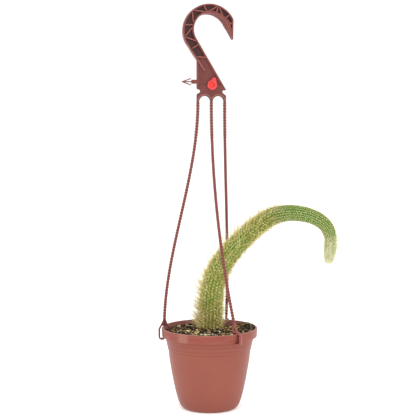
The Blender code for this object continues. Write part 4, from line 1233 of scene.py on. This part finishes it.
def outer_line(offset):
    """Outer line of the hook, from its front corner to the shank, moved inwards by an offset."""
    centre, radius, start, end = HOOK_OUTER
    return arc(centre, radius - offset, start, end, 60)


def plate_foot():
    """Lower edge of the plate, from its left side round the notches and arches to the right foot."""
    points = [(PLATE_LEFT, NOTCH_HEIGHT + 3.3 * MM)]
    points += arc((PLATE_LEFT + NOTCH_RADIUS, NOTCH_HEIGHT), NOTCH_RADIUS, 100, -100, 12)
    points += [(PLATE_LEFT, NOTCH_HEIGHT - 3.9 * MM)]
    half = STRAND_WIDTH / 2
    points += [(STRAND_PLACES[0] - half, STRAND_TOP), (STRAND_PLACES[0] + half, STRAND_TOP)]
    for left, right in zip(STRAND_PLACES, STRAND_PLACES[1:]):
        points += arc(((left + right) / 2, ARCH_SPRING), (right - left) / 2 - half, 180, 0, 28)
        points += [(right - half, STRAND_TOP), (right + half, STRAND_TOP)]
    side = STRAND_PLACES[2] + half
    points += [(side, NOTCH_HEIGHT - 5.0 * MM)]
    points += arc((side - 2.4 * MM, NOTCH_HEIGHT - 0.5 * MM), NOTCH_RADIUS, 235, 105, 10)
    return points + [(side - 0.8 * MM, NOTCH_HEIGHT + 1.2 * MM), (side, NOTCH_HEIGHT + 2.2 * MM), PLATE_RIGHT_FOOT]


def thin_plate(bm):
    """Thin everything below the hook's shank to the plate's own depth."""
    low, high = PLATE_TAPER
    for vert in bm.verts:
        share = min(1.0, max(0.0, (vert.co.z - low) / (high - low)))
        vert.co.y *= (PLATE_DEPTH + (HOOK_DEPTH - PLATE_DEPTH) * share) / HOOK_DEPTH


def saddle():
    """The slanted seat under the hook's roof, deeper at the back and towards the tip."""
    centre, radius, start, end = THROAT
    edge = arc(centre, radius, SADDLE_START, end, 5)
    centre, radius, start, end = THROAT_ROOF
    edge += arc(centre, radius, start, end, 12)
    drops = [0.3 + 1.8 * step / 5 for step in range(6)]
    drops += [2.1 + 3.5 * (step + 1) / 13 for step in range(13)]
    edge += in_metres(((23.7, 450.0), (26.4, 441.0)))
    drops += [2.4, 0.3]
    half = HOOK_DEPTH / 2 - 0.3 * MM
    bm = bmesh.new()
    layer = bm.verts.layers.float.new("tone")
    roof = Vector(THROAT_ROOF[0])
    loops = []
    for (u, z), drop in zip(edge, drops):
        towards = (roof - Vector((u, z))).normalized()
        start = Vector((u, z)) - 0.8 * MM * towards
        corners = [(start, half, 0.5)]
        for across, share, tone in SADDLE_TREADS:
            corners.append((start + (0.8 + drop * share) * MM * towards, across * half, tone))
        loop = [bm.verts.new((place.x, v, place.y)) for place, v, tone in corners]
        # Each tread's tone paints a pale highlight or a line of shade across the seat.
        for vert, (place, v, tone) in zip(loop, corners):
            vert[layer] = tone
        loops.append(loop)
    rims = []
    for loop in loops:
        rims.append([bm.edges.new((vert, loop[index - 1])) for index, vert in enumerate(loop)])
    for first, second in zip(rims, rims[1:]):
        bmesh.ops.bridge_loops(bm, edges=first + second)
    bm.faces.new(loops[0])
    bm.faces.new(loops[-1])
    return bm


class CACTUS_OT_hook(bpy.types.Operator):
    """Mould the hook with its truss ribs, the plate and its barb"""

    bl_idname = "cactus.add_hook"
    bl_label = "Hook and plate"

    def execute(self, context):
        settings = context.scene.hanger_settings
        soft = settings.soft_edge
        bm = bmesh.new()
        tip = in_metres(HOOK_TIP_MM)
        outer = outer_line(0.0)
        inner = throat_line(0.0)
        shank = [(PLATE_LEFT - 0.6 * MM, PLATE_SHOULDER)]
        web = outer_line(0.5 * MM) + shank + [(plate_right(PLATE_SHOULDER, 0.5 * MM), PLATE_SHOULDER)]
        web += throat_line(0.5 * MM) + tip
        # The recessed web carries painted shade.
        take_in(bm, slab(web, -HOOK_WEB / 2, HOOK_WEB / 2, 0), SHADE_TONE)
        front = outer + shank
        back = outer_line(OUTER_BAND) + [(PLATE_LEFT + 1.4 * MM, PLATE_SHOULDER)]
        take_in(bm, band(back, front, HOOK_DEPTH, soft))
        flange = [(PLATE_RIGHT_FOOT[0] - 0.2 * MM, PLATE_RIGHT_FOOT[1] + 0.3 * MM)]
        inset = [(plate_right(PLATE_RIGHT_FOOT[1] + 4.5 * MM, 2.4 * MM), PLATE_RIGHT_FOOT[1] + 4.5 * MM)]
        take_in(bm, band(inset + throat_line(INNER_BAND), flange + inner, HOOK_DEPTH, soft))
        nose = [inner[-1], *tip, outer[0]]
        inner_nose = throat_line(INNER_BAND)[-1]
        cheek = [inner_nose, (26.2 * MM, 450.5 * MM), outer_line(OUTER_BAND)[0]]
        take_in(bm, slab(nose + list(reversed(cheek)), -HOOK_DEPTH / 2, HOOK_DEPTH / 2, soft))
        # The truss ribs carry a painted highlight.
        for ends in TRUSS_RIBS_MM:
            take_in(bm, bar(*in_metres(ends), TRUSS_RIB_WIDTH, HOOK_DEPTH - 0.6 * MM, soft), HIGHLIGHT_TONE)
        take_in(bm, saddle())
        plate = [(PLATE_LEFT - 0.6 * MM, PLATE_SHOULDER), (PLATE_LEFT, PLATE_SHOULDER - 2.5 * MM)] + plate_foot()
        low = list(reversed([(plate_right(z * MM, 0.4 * MM), z * MM) for z in (420, 410, 400, 390)]))
        take_in(bm, slab(plate + low, -PLATE_WEB / 2, PLATE_WEB / 2, 0), MIDDLE)
        thin_plate_parts(bm, settings)
        to_pot_axes(bm)
        # A darker copy of the hanger's colour: painted shade on the hook and plate.
        material = hanger_plastic("hook_plastic", shaded(settings.colour, 0.78))
        finish_piece("hook_and_plate", bm, material, ["hanger"], 30.0)
        return {'FINISHED'}


def thin_plate_parts(bm, settings):
    """The raised parts of the plate: its borders, solid foot, long rib, arch beads and barb."""
    soft = settings.soft_edge
    thin_plate(bm)
    depth = PLATE_DEPTH
    foot = plate_foot()
    foot += [(plate_right(386 * MM), 386 * MM), (PLATE_LEFT, 386 * MM)]
    take_in(bm, slab(foot, -depth / 2, depth / 2, 0.45 * MM), MIDDLE)
    border = [(PLATE_LEFT, PLATE_SHOULDER - 2.5 * MM), (PLATE_LEFT, 385 * MM)]
    border += [(PLATE_LEFT + 2.0 * MM, 385 * MM), (PLATE_LEFT + 2.0 * MM, PLATE_SHOULDER + 2 * MM)]
    take_in(bm, slab(border, -depth / 2, depth / 2, soft))
    # The long rib carries a painted highlight.
    take_in(bm, bar(*in_metres(LONG_RIB_MM), 2.4 * MM, 6.4 * MM, 0.5 * MM), HIGHLIGHT_TONE)
    # The arch beads carry the palest tone, a painted highlight.
    for left, right, first, last in zip(STRAND_PLACES, STRAND_PLACES[1:], (25, 0), (180, 155)):
        centre = ((left + right) / 2, ARCH_SPRING)
        radius = (right - left - STRAND_WIDTH) / 2 + 1.2 * MM
        inner = arc(centre, radius, first, last, 28)
        take_in(bm, band(inner, arc(centre, radius + BEAD_WIDTH, first, last, 28), depth + 1.0 * MM, soft), 0.972)
    u, z = BARB_TIP
    take_in(bm, bar((u, z), (-20.0 * MM, z), 1.3 * MM, 1.3 * MM, soft))
    for side in (-1, 1):
        take_in(bm, bar((u + 0.4 * MM, z), (-22.3 * MM, z + side * 3.8 * MM), 1.2 * MM, 1.2 * MM, soft))
    take_in(bm, bar((-21.7 * MM, z), (-13.5 * MM, z), 4.7 * MM, 2.9 * MM, soft))


def clip_frame(index):
    """Turns (radius, tangent, height) at a clip into the pot's axes."""
    return Matrix.Rotation(math.radians(CLIP_AZIMUTHS[index]), 4, 'Z')


def set_clip(bm, index):
    """Lower a clip's fork to its top, twist it about its strand and place it on the rim."""
    apex, top = CLIP_APEX
    twist = math.radians(CLIP_TWISTS[index])
    share = (CLIP_TOPS[index] - POT_HEIGHT) / (top - POT_HEIGHT)
    for vert in bm.verts:
        if vert.co.z > POT_HEIGHT:
            vert.co.z = POT_HEIGHT + (vert.co.z - POT_HEIGHT) * share
        vert.co.x = apex + (vert.co.x - apex) / math.cos(twist)
    bmesh.ops.rotate(bm, cent=(apex, 0, 0), matrix=Matrix.Rotation(twist, 3, 'Z'), verts=bm.verts)
    bmesh.ops.transform(bm, matrix=clip_frame(index), verts=bm.verts)


def hermite(share, landing):
    """Eased share of the way, level at the start and with a given slope at the end."""
    return 3 * share ** 2 - 2 * share ** 3 + landing * (share ** 3 - share ** 2)


def strand_line(index, spacing):
    """Centre line of one strand, from the plate down to its clip, with its axes."""
    start = Matrix.Rotation(math.radians(HANGER_YAW), 4, 'Z') @ Vector((STRAND_PLACES[index], 0, STRAND_TOP + 3 * MM))
    end = clip_frame(index) @ Vector((CLIP_APEX[0], 0, CLIP_TOPS[index]))
    count = round((start.z - end.z) / spacing)
    landing_x, landing_y = STRAND_LANDING[index]
    points = []
    for step in range(count + 1):
        share = step / count
        x = start.x + (end.x - start.x) * hermite(share, landing_x)
        y = start.y + (end.y - start.y) * hermite(share, landing_y)
        points.append(Vector((x, y, start.z + (end.z - start.z) * share)))
    centres = []
    for step, centre in enumerate(points):
        along = points[min(step + 1, count)] - points[max(step - 1, 0)]
        side = Vector((0, 1, 0)).cross(along).normalized()
        centres.append((centre, side, along.cross(side).normalized()))
    return centres


class CACTUS_OT_strands(bpy.types.Operator):
    """Wind the two ridges of each corded strand"""

    bl_idname = "cactus.add_strands"
    bl_label = "Strands"

    def execute(self, context):
        settings = context.scene.hanger_settings
        # A lighter copy of the hanger's colour: painted light on the strands.
        material = hanger_plastic("strand_plastic", shaded(settings.colour, 1.16))
        spacing = settings.cord_pitch / CORD_STEPS
        for index, name in enumerate(("strand_left", "strand_front", "strand_back")):
            centres = strand_line(index, spacing)

            def reach(turn, step):
                # The ridges are pale and the notches between them carry painted shade through the tone.
                wave = (0.5 + 0.5 * math.cos(2 * math.pi * (2 * turn + step / CORD_STEPS))) ** 0.8
                return settings.cord_core + settings.cord_ridge * wave, (0.95 * wave ** 1.5,)

            bm = tube(centres, CORD_SIDES, reach, ("tone",))
            finish_piece(name, bm, material, crease=50.0)
        return {'FINISHED'}


def strap_side(path, leg):
    """Side view of a strap along a path, thinner above the rim."""
    left = []
    right = []
    for index, place in enumerate(path):
        before = Vector(path[max(index - 1, 0)])
        after = Vector(path[min(index + 1, len(path) - 1)])
        along = (after - before).normalized()
        thickness = leg if place[1] > POT_HEIGHT else STRAP_THICKNESS
        across = Vector((-along.y, along.x)) * thickness / 2
        left.append(tuple(Vector(place) + across))
        right.append(tuple(Vector(place) - across))
    return left + list(reversed(right))


def widen(bm, widths):
    """Give a strap of unit width its width at each height."""
    for vert in bm.verts:
        height = vert.co.z / MM
        wide = widths[0][1]
        for (high, first), (low, second) in zip(widths, widths[1:]):
            if height <= low:
                wide = second
            elif height < high:
                wide = first + (second - first) * (high - height) / (high - low)
                break
        vert.co.y *= wide


class CACTUS_OT_clips(bpy.types.Operator):
    """Bend the three rim clips round the rim band"""

    bl_idname = "cactus.add_clips"
    bl_label = "Rim clips"

    def execute(self, context):
        settings = context.scene.hanger_settings
        # A lighter copy of the hanger's colour: painted light on the clips.
        material = hanger_plastic("clip_plastic", shaded(settings.colour, 1.2))
        for index, name in enumerate(("clip_left", "clip_front", "clip_back")):
            bm = bmesh.new()
            outer = (OUTER_STRAPS_MM[index], OUTER_WIDTHS_MM[index])
            for path, widths in (outer, (INNER_LEGS_MM[index], STRAP_WIDTHS_MM[:2])):
                strap = slab(strap_side(in_metres(path), LEG_THICKNESSES[index]), -0.5 * MM, 0.5 * MM, 0)
                widen(strap, widths)
                round_edges(strap, 0.4 * MM, 3, 40.0)
                take_in(bm, strap, CLIP_SHADE_TONES[index])
            # The web between a clip's legs carries painted shade.
            take_in(bm, slab(in_metres(CLIP_WEBS_MM[index]), -0.8 * MM, 0.8 * MM, settings.soft_edge), 0.15)
            set_clip(bm, index)
            finish_piece(name, bm, material, crease=40.0)
        return {'FINISHED'}


class CACTUS_OT_plug(bpy.types.Operator):
    """Press the red plug into the plate"""

    bl_idname = "cactus.add_plug"
    bl_label = "Red plug"

    def execute(self, context):
        settings = context.scene.hanger_settings
        disc, disc_radius = PLUG_DISC
        lobe, lobe_radius = PLUG_LOBE
        heading = math.degrees(math.atan2(lobe[1] - disc[1], lobe[0] - disc[0]))
        outline = arc(disc, disc_radius, heading + 40, heading + 320, 48)
        outline += arc(lobe, lobe_radius - 0.2 * MM, heading - 88, heading + 88, 26)
        front = -PLATE_DEPTH / 2 - 0.3 * MM
        bm = slab(outline, front - PLUG_HEAD, front, 0)
        round_edges(bm, 0.5 * MM, 3, 40.0)
        to_pot_axes(bm)
        shift, rise, hole_radius = PLUG_HOLE
        hole = (disc[0] + shift, disc[1] + rise)
        turn = math.radians(HANGER_YAW)
        middle = (hole[0] * math.cos(turn), 0.0, hole[1])
        material = plug_plastic(settings.plug_colour, middle, hole_radius)
        piece = finish_piece("red_plug_head", bm, material, ["red_plug"])
        cutter = slab(circle(hole, hole_radius), front - 2 * PLUG_HEAD, front - PLUG_HEAD + PLUG_HOLE_DEPTH, 0)
        to_pot_axes(cutter)
        cut_away(piece, cutter)
        shank = slab(circle(disc, PLUG_SHANK_RADIUS), front - 0.4 * MM, PLATE_DEPTH / 2, 0)
        to_pot_axes(shank)
        bm = bmesh.new()
        bm.from_mesh(piece.data)
        take_in(bm, shank)
        bm.to_mesh(piece.data)
        bm.free()
        keep_sharp(piece.data, 35.0)
        return {'FINISHED'}


# Stage


def area_light(name, place, target, size, power):
    """A square soft light that faces a target."""
    lamp = bpy.data.lights.new(name, 'AREA')
    lamp.shape = 'SQUARE'
    lamp.size = size
    lamp.energy = power
    light = as_object(name, lamp)
    light.location = place
    light.rotation_euler = (Vector(target) - Vector(place)).to_track_quat('-Z', 'Y').to_euler()


class CACTUS_OT_stage(bpy.types.Operator):
    """Lay the pale floor and set the lights and camera"""

    bl_idname = "cactus.add_stage"
    bl_label = "Stage"

    def execute(self, context):
        settings = context.scene.stage_settings
        bm = bmesh.new()
        bmesh.ops.create_grid(bm, x_segments=1, y_segments=1, size=30.0)
        bmesh.ops.translate(bm, verts=bm.verts, vec=(0, 0, -0.2 * MM))
        floor_finish = Finish("floor", 0.9)
        colour = tuple(settings.floor_colour)
        floor_finish.shader.inputs["Emission Color"].default_value = (1.0, 1.0, 1.0, 1.0)
        floor_finish.shader.inputs["Emission Strength"].default_value = settings.floor_glow
        tint = floor_finish.ramp(floor_finish.grain(3.0), (0.3, shaded(colour, 0.995)), (0.7, colour))
        mesh = as_mesh(bm, "floor")
        mesh.materials.append(floor_finish.done(tint))
        floor = as_object("floor", mesh)
        world = bpy.data.worlds.new("studio")
        world.use_nodes = True
        world.node_tree.nodes["Background"].inputs["Color"].default_value = (1.0, 1.0, 1.0, 1.0)
        world.node_tree.nodes["Background"].inputs["Strength"].default_value = settings.sky
        context.scene.world = world
        area_light("softbox", (-0.1, -0.9, 1.6), (0, 0, 0.2), 1.6, settings.key)
        area_light("fill_light", (1.5, -1.3, 0.9), (0, 0, 0.2), 1.4, settings.fill)
        lens = bpy.data.cameras.new("camera")
        lens.lens = CAMERA_LENS
        lens.sensor_width = 36.0
        camera = as_object("camera", lens)
        camera.location = CAMERA_PLACE
        camera.rotation_euler = (math.radians(90 + CAMERA_PITCH), 0, 0)
        context.scene.camera = camera
        context.scene.view_settings.view_transform = 'Standard'
        return {'FINISHED'}


SETTINGS = (
    ("pot_settings", PotSettings), ("soil_settings", SoilSettings), ("cactus_settings", CactusSettings),
    ("hanger_settings", HangerSettings), ("stage_settings", StageSettings),
)
OPERATORS = (
    CACTUS_OT_pot, CACTUS_OT_soil, CACTUS_OT_soil_bits, CACTUS_OT_stem, CACTUS_OT_seam, CACTUS_OT_areoles,
    CACTUS_OT_spines, CACTUS_OT_hairs, CACTUS_OT_hook, CACTUS_OT_strands, CACTUS_OT_clips, CACTUS_OT_plug,
    CACTUS_OT_stage,
)


class CACTUS_PT_panel(bpy.types.Panel):
    """Lists the sizes, colours and pieces of the potted cactus"""

    bl_label = "Monkey Tail Cactus"
    bl_idname = "CACTUS_PT_panel"
    bl_space_type = 'VIEW_3D'
    bl_region_type = 'UI'
    bl_category = "Cactus"

    def draw(self, context):
        layout = self.layout
        for name, group in SETTINGS:
            box = layout.box()
            box.label(text=name.replace("_", " ").capitalize())
            for key in group.__annotations__:
                box.prop(getattr(context.scene, name), key)
        for operator in OPERATORS:
            layout.operator(operator.bl_idname)


def register():
    """Register the settings, operators and panel."""
    for name, group in SETTINGS:
        bpy.utils.register_class(group)
        setattr(bpy.types.Scene, name, PointerProperty(type=group))
    for kind in (*OPERATORS, CACTUS_PT_panel):
        bpy.utils.register_class(kind)


def unregister():
    """Take the panel, operators and settings away again."""
    for kind in (CACTUS_PT_panel, *reversed(OPERATORS)):
        bpy.utils.unregister_class(kind)
    for name, group in reversed(SETTINGS):
        delattr(bpy.types.Scene, name)
        bpy.utils.unregister_class(group)


def main():
    """Build every piece."""
    register()
    bpy.ops.cactus.add_stage()
    bpy.ops.cactus.add_pot()
    bpy.ops.cactus.add_soil()
    bpy.ops.cactus.add_soil_bits()
    bpy.ops.cactus.add_stem()
    bpy.ops.cactus.add_seam()
    bpy.ops.cactus.add_areoles()
    bpy.ops.cactus.add_spines()
    bpy.ops.cactus.add_hairs()
    bpy.ops.cactus.add_hook()
    bpy.ops.cactus.add_strands()
    bpy.ops.cactus.add_clips()
    bpy.ops.cactus.add_plug()


if __name__ == "__main__":
    main()
